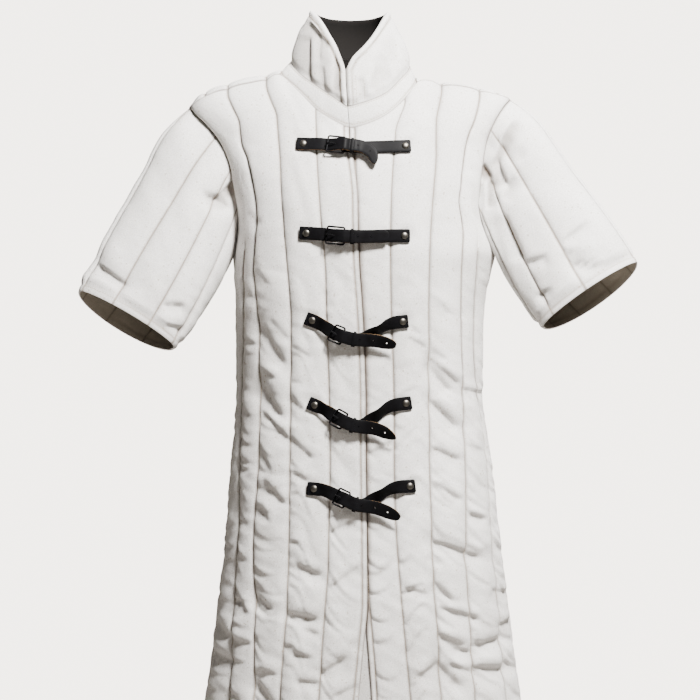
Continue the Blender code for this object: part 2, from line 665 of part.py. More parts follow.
def build_cloth():
    right_front, right_shares = front_grid("right")
    left_front, left_shares = front_grid("left")
    back, back_shares = back_grid(right_front, left_front)
    last = len(UPPER_SHARES) - 1
    rings = {
        "right": np.concatenate([right_front[-1, : last + 1], back[0, last - 1 : 0 : -1]]),
        "left": np.concatenate([left_front[-1, : last + 1], back[-1, last - 1 : 0 : -1]]),
    }
    neck = neck_ring(right_front, left_front, back)
    table = np.array(COLLAR, float)
    foot, rim = table[:, :3], table[:, 3:]
    band = np.stack([neck, (neck + foot) / 2, foot], axis=1)
    outwards = (foot + rim) / 2 * (1, 1, 0)
    outwards /= np.linalg.norm(outwards, axis=1, keepdims=True)
    bows = [(t, COLLAR_SWELL * math.sin(math.pi * t)) for t in (0, 0.3, 0.65, 1)]
    collar = np.stack([foot + (rim - foot) * t + outwards * swell for t, swell in bows], axis=1)
    grids = {
        "front_right": right_front,
        "front_left": left_front,
        "back": back,
        "sleeve_right": sleeve_grid("right", rings["right"]),
        "sleeve_left": sleeve_grid("left", rings["left"]),
        "collar_band": band,
        "collar": collar,
    }
    closed = {name: name.startswith("sleeve") for name in grids}

    def axis_of_body(points):
        return points * (0, 0, 1)

    def axis_of_tube(points):
        return np.broadcast_to(points.mean(axis=0, keepdims=True), points.shape)

    middles = {name: axis_of_tube if closed[name] else axis_of_body for name in grids}
    directions = outward(grids, closed, middles)
    quilted = {
        "front_right": (right_shares, ("top", "last")),
        "front_left": (left_shares, ("top", "last")),
        "back": (back_shares, ("top", "first", "last")),
        "sleeve_right": ([0, 1 / 3, 2 / 3] * 8, ("top",)),
        "sleeve_left": ([0, 1 / 3, 2 / 3] * 8, ("top",)),
    }
    for name, (shares, ends) in quilted.items():
        grid = grids[name]
        if closed[name]:
            rise = rises(np.concatenate([grid, grid[:1]]), shares + [0])[:-1]
        else:
            rise = rises(grid, shares)
            for columns in (slice(-4, -1), slice(1, 4)):
                if name == "back" or columns.start < 0:
                    rise[columns, ARMPIT_ROWS] *= ARMPIT_PUFF
        if closed[name]:
            rise *= [fade(share / 0.25) for share in SLEEVE_SHARES]
        folds = FOLDS.get(name) or FOLDS[name.split("_")[0]]
        pressed = folded(grid, directions[name], folds)
        pressed[:, 0] = grid[:, 0]
        if not closed[name]:
            pressed[-1] = grid[-1]
        if name == "back":
            pressed[0] = grid[0]
        cloth(name, pressed, directions, rise, closed[name], ends)
    crown = np.zeros(band.shape[:2])
    crown[:, 1] = BAND_CROWN
    cloth("collar_band", band, directions, crown, False, ("top", "bottom"), TURNED_GAP)
    padded = np.full(collar.shape[:2], COLLAR_WALL - PRESSED_WALL)
    padded[:, 0] = 0.0
    cloth("collar", collar, directions, padded, False, ("top",), TURNED_GAP)
    build_underlap()


UNDERLAP_TOP = 690.0
UNDERLAP_ACROSS = (-14, 4, 22, 40)  # from the upper front's edge towards the lower front
UNDERLAP_DEPTH = 4.0  # behind the stitched skin
UNDERLAP_WALL = 2.4


def build_underlap():
    drops = [drop for drop in LOWER_DROPS if drop > UNDERLAP_TOP]
    grid, facing = [], []
    for across in UNDERLAP_ACROSS:
        places = [(column(RIGHT_LINES, RIGHT_LINES_COLUMNS, "edge", 850) + across, -drop) for drop in drops]
        grid.append([on_front(x, z) for x, z in places])
        facing.append([front_normal(x, z) for x, z in places])
    grid, facing = np.array(grid), np.array(facing)
    outer = folded(grid, facing, FOLDS["front"]) - facing * UNDERLAP_DEPTH
    wall("front_underlap", outer - facing * UNDERLAP_WALL, outer, False, COTTON)


# ---------------------------------------------------------------- the closures
class Route:
    """A smooth line on the front of the coat, through places given as x and height."""

    def __init__(self, places):
        self.places = np.array(places, float)
        steps = np.linalg.norm(np.diff(self.places, axis=0), axis=1)
        self.marks = np.concatenate([[0], np.cumsum(steps)])
        self.length = self.marks[-1]

    def on_curve(self, s):
        return np.array([curve(self.marks, self.places[:, k], s) for k in (0, 1)])

    def heading(self, s):
        s = np.clip(s, 1, self.length - 1)
        step = self.on_curve(s + 1) - self.on_curve(s - 1)
        return step / np.linalg.norm(step)

    def at(self, s):
        """The place at s along the route. Past its ends it runs straight on."""
        inside = np.clip(s, 0, self.length)
        return self.on_curve(inside) + self.heading(inside) * (s - inside)

    def place(self, s, across, height):
        """The point at s along the route, across it, and at a height above the stitched skin."""
        x, z = self.at(s)
        ahead = self.heading(s)
        facing = front_normal(x, z)
        side = np.array((-ahead[1], 0, ahead[0]))
        side = side - facing * side.dot(facing)
        return on_front(x, z) + side / np.linalg.norm(side) * across + facing * height


def strap(name, route, profile, widths):
    """A flat strip whose middle follows a profile of (s, height), with a half width for each place."""
    profile = np.array(profile, float)
    steps = np.diff(profile, axis=0)
    steps /= np.linalg.norm(steps, axis=1, keepdims=True)
    before, after = np.concatenate([steps[:1], steps]), np.concatenate([steps, steps[-1:]])
    ahead = before + after
    ahead /= np.linalg.norm(ahead, axis=1, keepdims=True)
    ahead /= np.maximum(0.7, (ahead * after).sum(axis=1, keepdims=True))
    up = np.stack([-ahead[:, 1], ahead[:, 0]], axis=1)
    layers = []
    for offset in (-STRAP_THICKNESS / 2, STRAP_THICKNESS / 2):
        middles = list(zip(profile + up * offset, widths))
        edges = [[route.place(s, side * half, h) for (s, h), half in middles] for side in (-1, 1)]
        layers.append(np.array(edges))
    wall(name, layers[0], layers[1], False, LEATHER)


def rod(name, points, radius, look, cyclic=False):
    """A round wire through points in millimetres."""
    data = bpy.data.curves.new(name, "CURVE")
    data.dimensions = "3D"
    data.bevel_depth = radius * 0.001
    data.bevel_resolution = 1
    data.use_fill_caps = not cyclic
    line = data.splines.new("POLY")
    line.points.add(len(points) - 1)
    for spot, point in zip(line.points, points):
        spot.co = (*(point * 0.001), 1)
    line.use_cyclic_u = cyclic
    add_object(name, data, look)


def rivet(name, route, s):
    """A low domed head on a strap."""
    on_strap = ON_CLOTH + STRAP_THICKNESS / 2 + GAP
    middle = route.place(s, 0, on_strap + 0.1)
    facing = route.place(s, 0, on_strap + 1.1) - middle
    mesh = bmesh.new()
    bmesh.ops.create_uvsphere(mesh, u_segments=12, v_segments=6, radius=1)
    low = [v for v in mesh.verts if v.co.z < -0.1]
    bmesh.ops.delete(mesh, geom=low, context="VERTS")
    bmesh.ops.holes_fill(mesh, edges=[e for e in mesh.edges if e.is_boundary])
    first = np.cross(facing, (0, 0, 1))
    first /= np.linalg.norm(first)
    second = np.cross(facing, first)
    for vertex in mesh.verts:
        x, y, z = vertex.co
        vertex.co = (middle + RIVET_RADIUS * (first * x + second * y) + facing * z * RIVET_RISE) * 0.001
    mesh.normal_update()
    bmesh.ops.recalc_face_normals(mesh, faces=mesh.faces[:])
    data = bpy.data.meshes.new(name)
    mesh.to_mesh(data)
    mesh.free()
    data.shade_smooth()
    add_object(name, data, BRIGHT_STEEL)


# The heights of a closure's layers above the stitched skin, from the cloth up.
LAYER = STRAP_THICKNESS + GAP
TURN = WIRE / 2 + GAP + STRAP_THICKNESS / 2 + 0.1  # radius of the buckle strap's loop round the heel bar
BAR = UNDER_KEEPER + TURN  # middle of the buckle's bars
OVER_BAR = BAR + TURN + LAYER + SPARE  # the tongue on top of that loop
ON_RETURN = UNDER_KEEPER + 2 * LAYER + SPARE  # the tongue inside the keeper


def buckle_strap_profile(heel, gap):
    """(s, height) along the buckle strap: from its rivet to the buckle, round the heel bar and back."""
    keeper = heel - gap
    before = [(0, ON_CLOTH), (14, ON_CLOTH), (keeper - 24, ON_CLOTH + 1)]
    inside = [(keeper - 8, UNDER_KEEPER), (keeper + 4, UNDER_KEEPER)]
    loop = [(heel + TURN * math.sin(a), BAR - TURN * math.cos(a)) for a in np.radians(range(0, 181, 30))]
    settled = UNDER_KEEPER + LAYER
    back = [(heel - 4, BAR + TURN - 1.4), (keeper + 4, settled), (keeper - 6, settled)]
    return before + inside + loop + back


def tongue_profile(far, heel, keeper, length):
    """(s, height) along the tongue: under the far bar, over the heel bar, through the keeper, its tail."""
    before = [(0, ON_CLOTH), (14, ON_CLOTH), (far - 10, UNDER_KEEPER - 1.5), (far, UNDER_KEEPER - 1.2)]
    climb = [(far + 3, UNDER_KEEPER - 0.3), (heel - 4, OVER_BAR - 0.8), (heel, OVER_BAR + 0.1)]
    inside = [(heel + 4, OVER_BAR - 1.3), (keeper - 4, ON_RETURN), (keeper + 5, ON_RETURN)]
    start, settled = keeper + 13, UNDER_KEEPER + LAYER
    tail = [(start + (length - start) * share, settled) for share in (0.35, 0.65, 0.82, 0.93, 1)]
    return before + climb + inside + [(start, settled + 0.8)] + tail


def buckle(name, tongue, middle, length):
    """The frame round both straps, and its prong, which rests on the far bar and the tongue."""
    half = STRAP_WIDTH / 2
    reach, side = length / 2, half + GAP + FRAME_CLEAR + WIRE / 2
    outline = []
    for along, across in ((1, -1), (1, 1), (-1, 1), (-1, -1)):
        straight = (middle + along * reach, across * (half + SPARE))
        turned = (middle + along * (reach - BUCKLE_CORNER), across * side)
        outline += [straight, turned] if along == across else [turned, straight]
    frame = [tongue.place(s, across, BAR) for s, across in outline]
    rod(name + "buckle_frame", frame, WIRE / 2, BLACK_STEEL, cyclic=True)

    far = middle - reach
    climb_length, climb = length - 7, OVER_BAR - SPARE - UNDER_KEEPER
    share = 0.48  # how far up the tongue's climb the prong ends
    on_bar = BAR + WIRE / 2 + GAP + PRONG
    strap_there = UNDER_KEEPER - 0.3 + share * climb
    slope = math.hypot(climb_length, climb + SPARE) / climb_length
    end = max(on_bar + 0.3, strap_there + GAP + (STRAP_THICKNESS / 2 + PRONG) * slope)
    line = [(far - 1.5, on_bar), (far + 1.5, on_bar), (far + 3 + share * climb_length, end)]
    rod(name + "prong", [tongue.place(s, 0, height) for s, height in line], PRONG, BLACK_STEEL)


def keeper_loop(name, tongue, keeper):
    """A narrow loop of leather round all three layers."""
    low = UNDER_KEEPER - STRAP_THICKNESS / 2 - 0.4
    high = ON_RETURN + STRAP_THICKNESS / 2 + 0.4
    outline = ((1, 0.04), (1, 0.96), (0.96, 1), (-0.96, 1), (-1, 0.96), (-1, 0.04), (-0.96, 0), (0.96, 0))
    rings = []
    for spare in (0.0, KEEPER_WALL):
        clear = STRAP_WIDTH / 2 + 1.0 + spare
        level = [(across * clear, (low - spare) + up * (high - low + 2 * spare)) for across, up in outline]
        ends = (keeper - KEEPER_HALF, keeper + KEEPER_HALF)
        rings.append(np.array([[tongue.place(s, across, up) for s in ends] for across, up in level]))
    wall(name + "keeper", rings[0], rings[1], True, LEATHER)


def build_closure(number, tongue_path, buckle_strap_path, middle, length, keeper_gap):
    name = f"closure_{number}_"
    half = STRAP_WIDTH / 2
    tongue = Route(tongue_path)
    far, heel = middle - length / 2, middle + length / 2
    keeper = heel + keeper_gap
    shared = [tuple(tongue.at(s)) for s in (keeper + 7, keeper, heel + 5, heel, heel - 5, heel - 10)]
    other = Route(list(buckle_strap_path) + shared)

    profile = buckle_strap_profile(other.marks[-3], keeper_gap)
    strap(name + "buckle_strap", other, profile, [half] * len(profile))
    profile = tongue_profile(far, heel, keeper, tongue.length)
    widths = [half] * (len(profile) - len(TIP)) + [half * share for share in TIP]
    strap(name + "tongue_strap", tongue, profile, widths)
    buckle(name, tongue, middle, length)
    keeper_loop(name, tongue, keeper)
    rivet(name + "rivet_right", tongue, TONGUE_RIVET)
    rivet(name + "rivet_left", other, BUCKLE_RIVET)


clear_scene()
build_cloth()
for number, row in enumerate(CLOSURES, 1):
    build_closure(number, *row)
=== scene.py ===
# %% [markdown]
# # A quilted gambeson
# A gambeson is a padded coat. Layers of cotton are laid between a canvas shell and a lining, and long rows
# of stitches hold them together, so that soft channels stand up between the rows. This file dresses the
# coat's plain solids: each cut piece gets a finer cloth wall on the same sections, with its channels,
# wrinkles and stitches. Lengths are in millimetres until a mesh is made, because that is how a tailor
# measures.

import math
from bisect import bisect_left
from functools import lru_cache

import bmesh
import bpy
import numpy as np
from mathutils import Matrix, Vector, noise


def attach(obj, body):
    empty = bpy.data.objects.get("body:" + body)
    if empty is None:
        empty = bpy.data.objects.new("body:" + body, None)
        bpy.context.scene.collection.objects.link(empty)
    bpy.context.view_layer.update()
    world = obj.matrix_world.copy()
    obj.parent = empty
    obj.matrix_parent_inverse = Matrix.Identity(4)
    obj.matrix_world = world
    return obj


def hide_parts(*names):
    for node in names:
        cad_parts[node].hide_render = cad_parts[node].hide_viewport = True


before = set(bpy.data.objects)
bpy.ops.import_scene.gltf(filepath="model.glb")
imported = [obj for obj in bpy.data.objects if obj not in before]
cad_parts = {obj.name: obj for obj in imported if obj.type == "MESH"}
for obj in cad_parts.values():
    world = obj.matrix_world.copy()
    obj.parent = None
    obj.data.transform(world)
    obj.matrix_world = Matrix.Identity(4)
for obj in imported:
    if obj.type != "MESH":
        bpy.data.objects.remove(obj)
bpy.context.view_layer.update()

# %% [markdown]
# ## The coat's own sizes
# A coat is drafted from a few tables: how wide and deep the body is at each height, where the shoulders
# run, and where the quilting lines cross. The solids were worked out from these tables, so the finer cloth
# reads the same ones. A lofted curve through the solids' own points would also do, but it would keep their
# flat facets.

# %% Sections of the body, shoulders and armholes
MM = 0.001
SEAM_GAP = 0.4  # between the cut edges of two pieces at a seam
# Pieces whose walls lean alike where they meet, and the least cosine between a wall and that lean.
KIN = {"front": ("front", "back"), "back": ("front", "back"), "sleeve": ("sleeve",), "collar": ("collar",)}
SHARPEST_MITRE = 0.75
PRESSED_WALL = 3.2  # shell, padding and lining where stitching presses them flat
CROWN_RISE = 5.8  # how far the padding stands above the stitched skin between two quilting lines
PUFF_PER_WIDTH = 0.12  # a narrow channel rises by this share of its width at most
HEM_DROP = 1050.0
ARMPIT_DROP = 282.0
FRONT_ROLL = 75.0  # height in which the shoulder rolls over to the chest
BACK_ROLL = 60.0
LAP_LIFT = 4.8  # how far the upper front's edge stands off the lower one
LAP_REACH = 34.0  # width of cloth over which that lift fades out
LAP_START = 92.0  # drop below which the fronts overlap
EDGE_BAND = 8.0
COLUMN_INSET = 5.5  # least distance between two columns where the armhole cuts into a panel
COLLAR_WALL = 6.5
BAND_CROWN = 1.2  # how far the collar band bulges
SLEEVE_TILT = math.radians(17)  # the sleeves reach forward by this much
SLEEVE_SWELL = 7.0  # how far a sleeve bows out between armhole and cuff
SHOULDER_SWELL = 9.0  # how far it stands up more, near its top
CUFF_FRONT = 38.0  # depth of the cuff in front of its widest line, and behind it
CUFF_BACK = 76.0

# ---------------------------------------------------------------- tables, one row for each height or place
# Skin of the body. Above the armpit the sides are where the section would close if there were no arms.
BODY_COLUMNS = ("drop", "right_side", "left_side", "front", "back", "squareness")
BODY = (
    (-20, -294, 286, 54, 80, 2.4),
    (0, -290, 283, 58, 84, 2.4),
    (40, -280, 274, 66, 90, 2.4),
    (60, -264, 259, 72, 94, 2.4),
    (96, -236, 232, 86, 104, 2.4),
    (141, -216, 219, 104, 113, 2.4),
    (174, -204, 214, 114, 118, 2.4),
    (226, -188, 213, 124, 122, 2.4),
    (282, -187, 228, 128, 122, 2.4),
    (330, -184, 215, 129, 118, 2.4),
    (373, -184, 208, 129, 114, 2.4),
    (440, -182, 207, 128, 110, 2.4),
    (510, -182, 206, 129, 108, 2.4),
    (620, -191, 220, 137, 116, 2.35),
    (780, -204, 239, 152, 135, 2.25),
    (904, -220, 255, 164, 151, 2.2),
    (1000, -232, 268, 172, 162, 2.2),
    (1050, -240, 277, 176, 167, 2.2),
)
# Top of the shoulders across the coat, and how far below it the shoulder seam and the neckline run.
RIDGE_COLUMNS = ("x", "height")
RIDGE = (
    (-300, -84),
    (-262, -50),
    (-238, -29),
    (-206, -16),
    (-157, -6),
    (-115, 6),
    (-60, 9),
    (0, 9),
    (60, 4),
    (103, -7),
    (144, -11),
    (206, -20),
    (240, -29),
    (255, -36),
    (300, -74),
)
# Upper edge of the fronts: neckline, then shoulder seam.
FRONT_TOP_COLUMNS = ("x", "height")
FRONT_TOP = (
    (-262, -51.5),
    (-236, -36),
    (-200, -22),
    (-157, -13),
    (-138, -7),
    (-115, 0),
    (-86, -26),
    (-58, -54),
    (-30, -73),
    (-4, -84),
    (13, -83),
    (40, -72),
    (69, -54),
    (85, -37),
    (103, -13),
    (144, -16),
    (205, -25),
    (234, -32.5),
    (255, -37.5),
)
# Opening edges of the two fronts, and the quilting lines of each, from the opening to the side.
LINES_COLUMNS = ("drop", "edge", "line_1", "line_2", "line_3", "line_4")
RIGHT_LINES = (
    (0, -4.6, -62, -138, -206, -243),
    (60, -4.6, -58, -122, -184, -220),
    (100, -4.0, -57, -118, -178, -202),
    (136, 2, -56, -115, -176, -189),
    (184, 8, -53, -113, -171, -180),
    (240, 9.5, -49, -109, -165, -175),
    (300, 11, -43, -104, -158, -173),
    (370, 16, -41, -98, -151, -172),
    (488, 21, -37, -98, -148, -174),
    (627, 22, -35, -99, -149, -178),
    (731, 23.5, -37, -100, -156, -180),
    (800, 24, -39, -102, -156, -185),
    (850, 24, -43, -104, -154, -188),
    (904, 19, -47, -108, -155, -191),
    (1000, 10, -53, -115, -157, -195),
    (1050, 6, -56, -119, -160, -199),
)
LEFT_LINES = (
    (0, -3.7, 92, 145, 207, 240),
    (60, -3.7, 74, 136, 198, 225),
    (100, -3.2, 69, 134, 192, 210),
    (136, -2.5, 66, 134, 187, 202),
    (184, -2, 63, 130, 183, 196),
    (272, -1, 61, 124, 176, 200),
    (370, 4, 62, 122, 173, 194),
    (488, 9, 66, 123, 176, 196),
    (560, 10, 67, 123, 178, 206),
    (627, 11, 67, 123, 180, 214),
    (731, 13, 70, 127, 181, 221),
    (835, 19, 78, 131, 184, 231),
    (904, 25, 84, 137, 190, 237),
    (968, 30, 90, 140, 194, 243),
    (1050, 34, 98, 146, 198, 250),
)
# Armhole seams below the shoulder point, on the front and on the back.
ARMHOLE_COLUMNS = ("drop", "front_right", "front_left", "back_right", "back_left")
ARMHOLE = (
    (36, -275, 256, -276, 257),
    (51, -262, 243, -264, 246),
    (72, -240, 230, -246, 236),
    (96, -219, 219, -229, 227),
    (141, -197, 210, -208, 210.3),
    (174, -190, 206, -198, 206.3),
    (226, -183, 205, -184.5, 207.5),
    (245, -183.5, 213.4, -184.8, 214),
    (264, -185.6, 221.8, -186, 221.8),
    (282, -187, 228, -187, 228),
)
# Where the body's quilting lines meet the shoulder seam or the neckline, from the opening outwards.
RIGHT_TOP_X = (-4.6, -12.6, -58, -138, -200, -236, -262)
LEFT_TOP_X = (-3.7, 4.6, 85, 144, 205, 234, 255)
RIGHT_NECK_CORNER = -115.0
LEFT_NECK_CORNER = 103.0
# Columns between two quilting lines, as shares of the channel at the top and in the body.
THIRDS = (1 / 3, 2 / 3)
NO_COLUMNS, EVEN = ((), ()), (THIRDS, THIRDS)
RIGHT_CHANNELS = (NO_COLUMNS, ((0.37, 0.68), THIRDS), ((0.35, 0.7125), THIRDS), EVEN, EVEN, EVEN)
LEFT_CHANNELS = (NO_COLUMNS, ((0.34, 0.68), THIRDS), ((0.305, 0.66), THIRDS), EVEN, EVEN, EVEN)
# Back of the neck: x, and how far behind the ridge the neckline lies there.
BACK_NECK = ((-111, 0.6), (-92, 8), (-58, 14), (-29, 17), (0, 18), (27, 17), (54, 14), (84, 8), (100, 0.6))
# Shares of the way from the upper edge down to the armpit, and heights of the rows below it.
UPPER_SHARES = (0, 0.05, 0.12, 0.20, 0.27, 0.35, 0.43, 0.52, 0.61, 0.70, 0.80, 0.90, 1)
LOWER_DROPS = tuple(ARMPIT_DROP + 33.5 * step for step in range(1, 22)) + (1018.0, 1038.0, HEM_DROP)
# The largest folds: soft troughs along a line in the front view.
# Columns: from x, from height, to x, to height, depth.
FOLD_WIDTH = 17.0  # half the width of a trough
FOLDS = {
    "front": (
        (-144, -400, -107, -464, 4.0),
        (-144, -496, -112, -547, 4.5),
        (-88, -781, -54, -797, 3.5),
        (-150, -832, -131, -851, 4.5),
        (-99, -858, -59, -867, 4.0),
        (-224, -923, -198, -933, 4.0),
        (-150, -968, -128, -1000, 4.5),
        (-60, -958, -24, -938, 3.0),
        (122, -464, 157, -506, 4.5),
        (125, -520, 170, -565, 4.0),
        (128, -744, 208, -773, 4.5),
        (166, -915, 237, -901, 4.5),
        (134, -936, 170, -973, 5.0),
        (192, -950, 242, -952, 4.0),
    ),
    "back": (
        (-125, -640, -70, -676, 4.0),
        (88, -560, 146, -602, 4.5),
        (-40, -820, 28, -842, 3.5),
        (102, -880, 176, -866, 4.5),
        (-172, -905, -118, -938, 4.5),
    ),
    "sleeve_right": ((-190, -173, -232, -196, 4.0), (-406, -302, -360, -336, 3.5)),
    "sleeve_left": ((234, -122, 250, -176, 4.5), (352, -301, 424, -299, 3.5)),
}
# Cuffs in the front view. Columns: outer x, outer height, inner x, inner height.
SLEEVES = {"right": (-437, -346, -283, -437), "left": (456, -300, 304, -404)}
# Where the sleeves' quilting lines meet the cuffs, in degrees round them.
SLEEVE_LINES = {
    "right": (20, 70, 113, 156, 200, 245, 290, 335, 380),
    "left": (8, 91, 136, 178, 215, 252, 292, 330, 368),
}
SLEEVE_SHARES = (0, 0.05, 0.13, 0.23, 0.35, 0.47, 0.59, 0.71, 0.83, 0.93, 1)
# Five closures. All places are in the front view: x, then height. The long tongue strap starts at its rivet
# on the wearer's right, passes through the buckle and ends in its tail. The buckle strap starts on the left.
# Columns: tongue path, buckle strap path, buckle's middle and length along the tongue, gap to the keeper.
CLOSURES = (
    (((-88, -113), (-50, -115), (-25, -118), (0, -120), (20, -123), (31, -132), (36, -149)),
     ((93, -117), (60, -118), (34, -119)), 63.0, 27.0, 12.0),
    (((-82, -254), (-50, -256), (-25, -259), (0, -260.5), (30, -260.5), (58, -260)),
     ((91, -259), (60, -259), (30, -260)), 57.0, 27.0, 12.0),
    (((-72, -389), (-50, -398), (-25, -414), (0, -422), (40, -426), (68, -433)),
     ((88, -394), (60, -398), (38, -410)), 56.0, 18.0, 18.0),
    (((-68, -524), (-45, -534), (-24, -548), (0, -560), (38, -567), (68, -582)),
     ((93, -524), (60, -530), (36, -547)), 55.0, 18.0, 15.0),
    (((-70, -660), (-45, -663), (-18, -675), (6, -686), (38, -692), (74, -708)),
     ((99, -656), (62, -661), (38, -675)), 57.0, 18.0, 15.0),
)
STRAP_WIDTH = 21.0
STRAP_THICKNESS = 2.6
ON_CLOTH = 7.4  # middle of a strap that lies on the padding, above the stitched skin
UNDER_KEEPER = 11.6  # middle of the buckle strap where the keeper goes round it
GAP = 0.3  # between two hard pieces that touch
SPARE = 0.5  # room between layers of leather that bend differently
PRONG = 1.1  # radius of the prong
WIRE = 3.0  # thickness of the buckle frame
BUCKLE_CORNER = 2.2  # how far a corner of the frame is cut along its side
FRAME_CLEAR = 1.2  # room between the strap's edge and the frame
KEEPER_HALF = 2.4  # half the keeper's width
KEEPER_WALL = 1.0
RIVET_RADIUS = 5.8
RIVET_RISE = 2.8
TONGUE_RIVET = 11.0  # from a strap's end to its rivet
BUCKLE_RIVET = 8.5

# %% [markdown]
# ## Smooth lines through a few values
# A table has few rows, so each value between them is read from a smooth curve. `skin` then gives a point of
# the stitched skin: the surface that the quilting rows are pressed down to.

# %% Reading the tables
def eased(start, end, start_slope, end_slope, t):
    """The value at a share t of the way from start to end, leaving and arriving at the given slopes."""
    leaving = start * (2 * t**3 - 3 * t**2 + 1) + start_slope * (t**3 - 2 * t**2 + t)
    return leaving + end * (3 * t**2 - 2 * t**3) + end_slope * (t**3 - t**2)


def curve(places, values, at):
    """A smooth curve through the values, which doesn't leave their range at its ends."""
    places = np.asarray(places, float)
    values = np.asarray(values, float)
    slopes = np.gradient(values, places)
    at = np.clip(at, places[0], places[-1])
    i = np.clip(np.searchsorted(places, at) - 1, 0, len(places) - 2)
    width = places[i + 1] - places[i]
    return eased(values[i], values[i + 1], slopes[i] * width, slopes[i + 1] * width, (at - places[i]) / width)


@lru_cache(maxsize=None)
def column_curve(table, place):
    """Places, values and slopes of one column of a table, worked out once."""
    places, values = [float(row[0]) for row in table], [float(row[place]) for row in table]
    return places, values, np.gradient(values, places).tolist()


def column(table, names, name, at):
    """The value of a column at one place, on the same curve."""
    places, values, slopes = column_curve(table, names.index(name))
    at = min(max(float(at), places[0]), places[-1])
    i = min(max(bisect_left(places, at) - 1, 0), len(places) - 2)
    width = places[i + 1] - places[i]
    return eased(values[i], values[i + 1], slopes[i] * width, slopes[i + 1] * width, (at - places[i]) / width)


def fade(value):
    """0 up to 0, 1 from 1, smooth between."""
    value = np.clip(value, 0, 1)
    return value * value * (3 - 2 * value)


def section(drop):
    """Middle, half width, front depth, back depth and squareness of the body at a height."""
    right, left, front, back, power = (column(BODY, BODY_COLUMNS, name, drop) for name in BODY_COLUMNS[1:])
    return (right + left) / 2, (left - right) / 2, front, back, power


def ridge_height(x):
    return column(RIDGE, RIDGE_COLUMNS, "height", x)


def turn_of(x, drop):
    """Where x lies round the section: -1 at the right side, 0 in the middle, 1 at the left side."""
    middle, half, _, _, power = section(drop)
    across = np.clip((x - middle) / half, -1, 1)
    return np.sign(across) * np.arcsin(np.abs(across) ** (power / 2)) * 2 / math.pi


def x_at(turn, drop):
    middle, half, _, _, power = section(drop)
    return middle + half * np.sign(turn) * np.abs(np.sin(turn * math.pi / 2)) ** (2 / power)


def skin(x, below_ridge, face):
    """A point of the stitched skin at a drop below the ridge. face -1 is the front, 1 the back."""
    ridge = ridge_height(x)
    drop = below_ridge - ridge
    middle, half, front, back, power = section(drop)
    across = np.clip(abs((x - middle) / half), 0, 1)
    depth = (front if face < 0 else back) * (1 - across**power) ** (1 / power)
    roll = min(below_ridge / (FRONT_ROLL if face < 0 else BACK_ROLL), 1)
    return np.array((x, face * depth * math.sqrt(max(0, 1 - (1 - roll) ** 2)), -drop))


def on_front(x, z):
    return skin(x, ridge_height(x) - z, -1)


def front_normal(x, z):
    """Which way the front faces at x and z."""
    step = 2.0
    across = on_front(x + step, z) - on_front(x - step, z)
    down = on_front(x, z - step) - on_front(x, z + step)
    normal = np.cross(down, across)
    return normal / np.linalg.norm(normal)


# ---------------------------------------------------------------- grids of the panels
def channel_columns(top_x, channels):
    """(line index, share at the top, share in the body) for each column, from the opening to the side."""
    found = []
    for line, (top, body) in enumerate(channels):
        found.append((line, 0, 0))
        found += [(line, a, b) for a, b in zip(top, body)]
    return found + [(len(top_x) - 1, 0, 0)]


def front_grid(side):
    """Skin points of a front, [column][row], from its opening edge to the side seam."""
    right = side == "right"
    table = RIGHT_LINES if right else LEFT_LINES
    top_x, channels = (RIGHT_TOP_X, RIGHT_CHANNELS) if right else (LEFT_TOP_X, LEFT_CHANNELS)
    band = -EDGE_BAND if right else EDGE_BAND

    def line_x(line, drop):
        if line < 2:
            return column(table, LINES_COLUMNS, "edge", drop) + band * line
        if line < 6:
            return column(table, LINES_COLUMNS, f"line_{line - 1}", drop)
        if drop < ARMPIT_DROP:
            return column(ARMHOLE, ARMHOLE_COLUMNS, f"front_{side}", drop)
        return x_at(-1 if right else 1, drop)

    grid = []
    layout = channel_columns(top_x, channels)
    for place, (line, top_share, body_share) in enumerate(layout):
        last = line == len(top_x) - 1
        next_line = line if last else line + 1
        start_x = top_x[line] + (top_x[next_line] - top_x[line]) * top_share
        start = -column(FRONT_TOP, FRONT_TOP_COLUMNS, "height", start_x)
        points = []
        for row, share in enumerate(UPPER_SHARES + LOWER_DROPS):
            upper = row < len(UPPER_SHARES)
            drop = start + (ARMPIT_DROP - start) * share if upper else share
            settled = fade(share / 0.35) if upper else 1
            here = top_share + (body_share - top_share) * settled
            turn = turn_of(line_x(line, drop), drop)
            turn += (turn_of(line_x(next_line, drop), drop) - turn) * here
            held = 1 - fade(share / 0.2) if upper and not last else 0
            x = x_at(turn, drop) * (1 - held) + start_x * held
            if row and upper:
                inset = COLUMN_INSET * (len(layout) - 1 - place)
                limit = abs(column(ARMHOLE, ARMHOLE_COLUMNS, f"front_{side}", drop)) - inset
                x = max(x, -limit) if right else min(x, limit)
            if right:
                over = column(table, LINES_COLUMNS, "edge", drop) - x
                lift = LAP_LIFT * fade((drop - LAP_START) / 20) * fade(1 - over / LAP_REACH)
            else:
                lift = 0
            points.append(on_front(x, -drop) + lift * front_normal(x, -drop))
        grid.append(points)
    return np.array(grid)


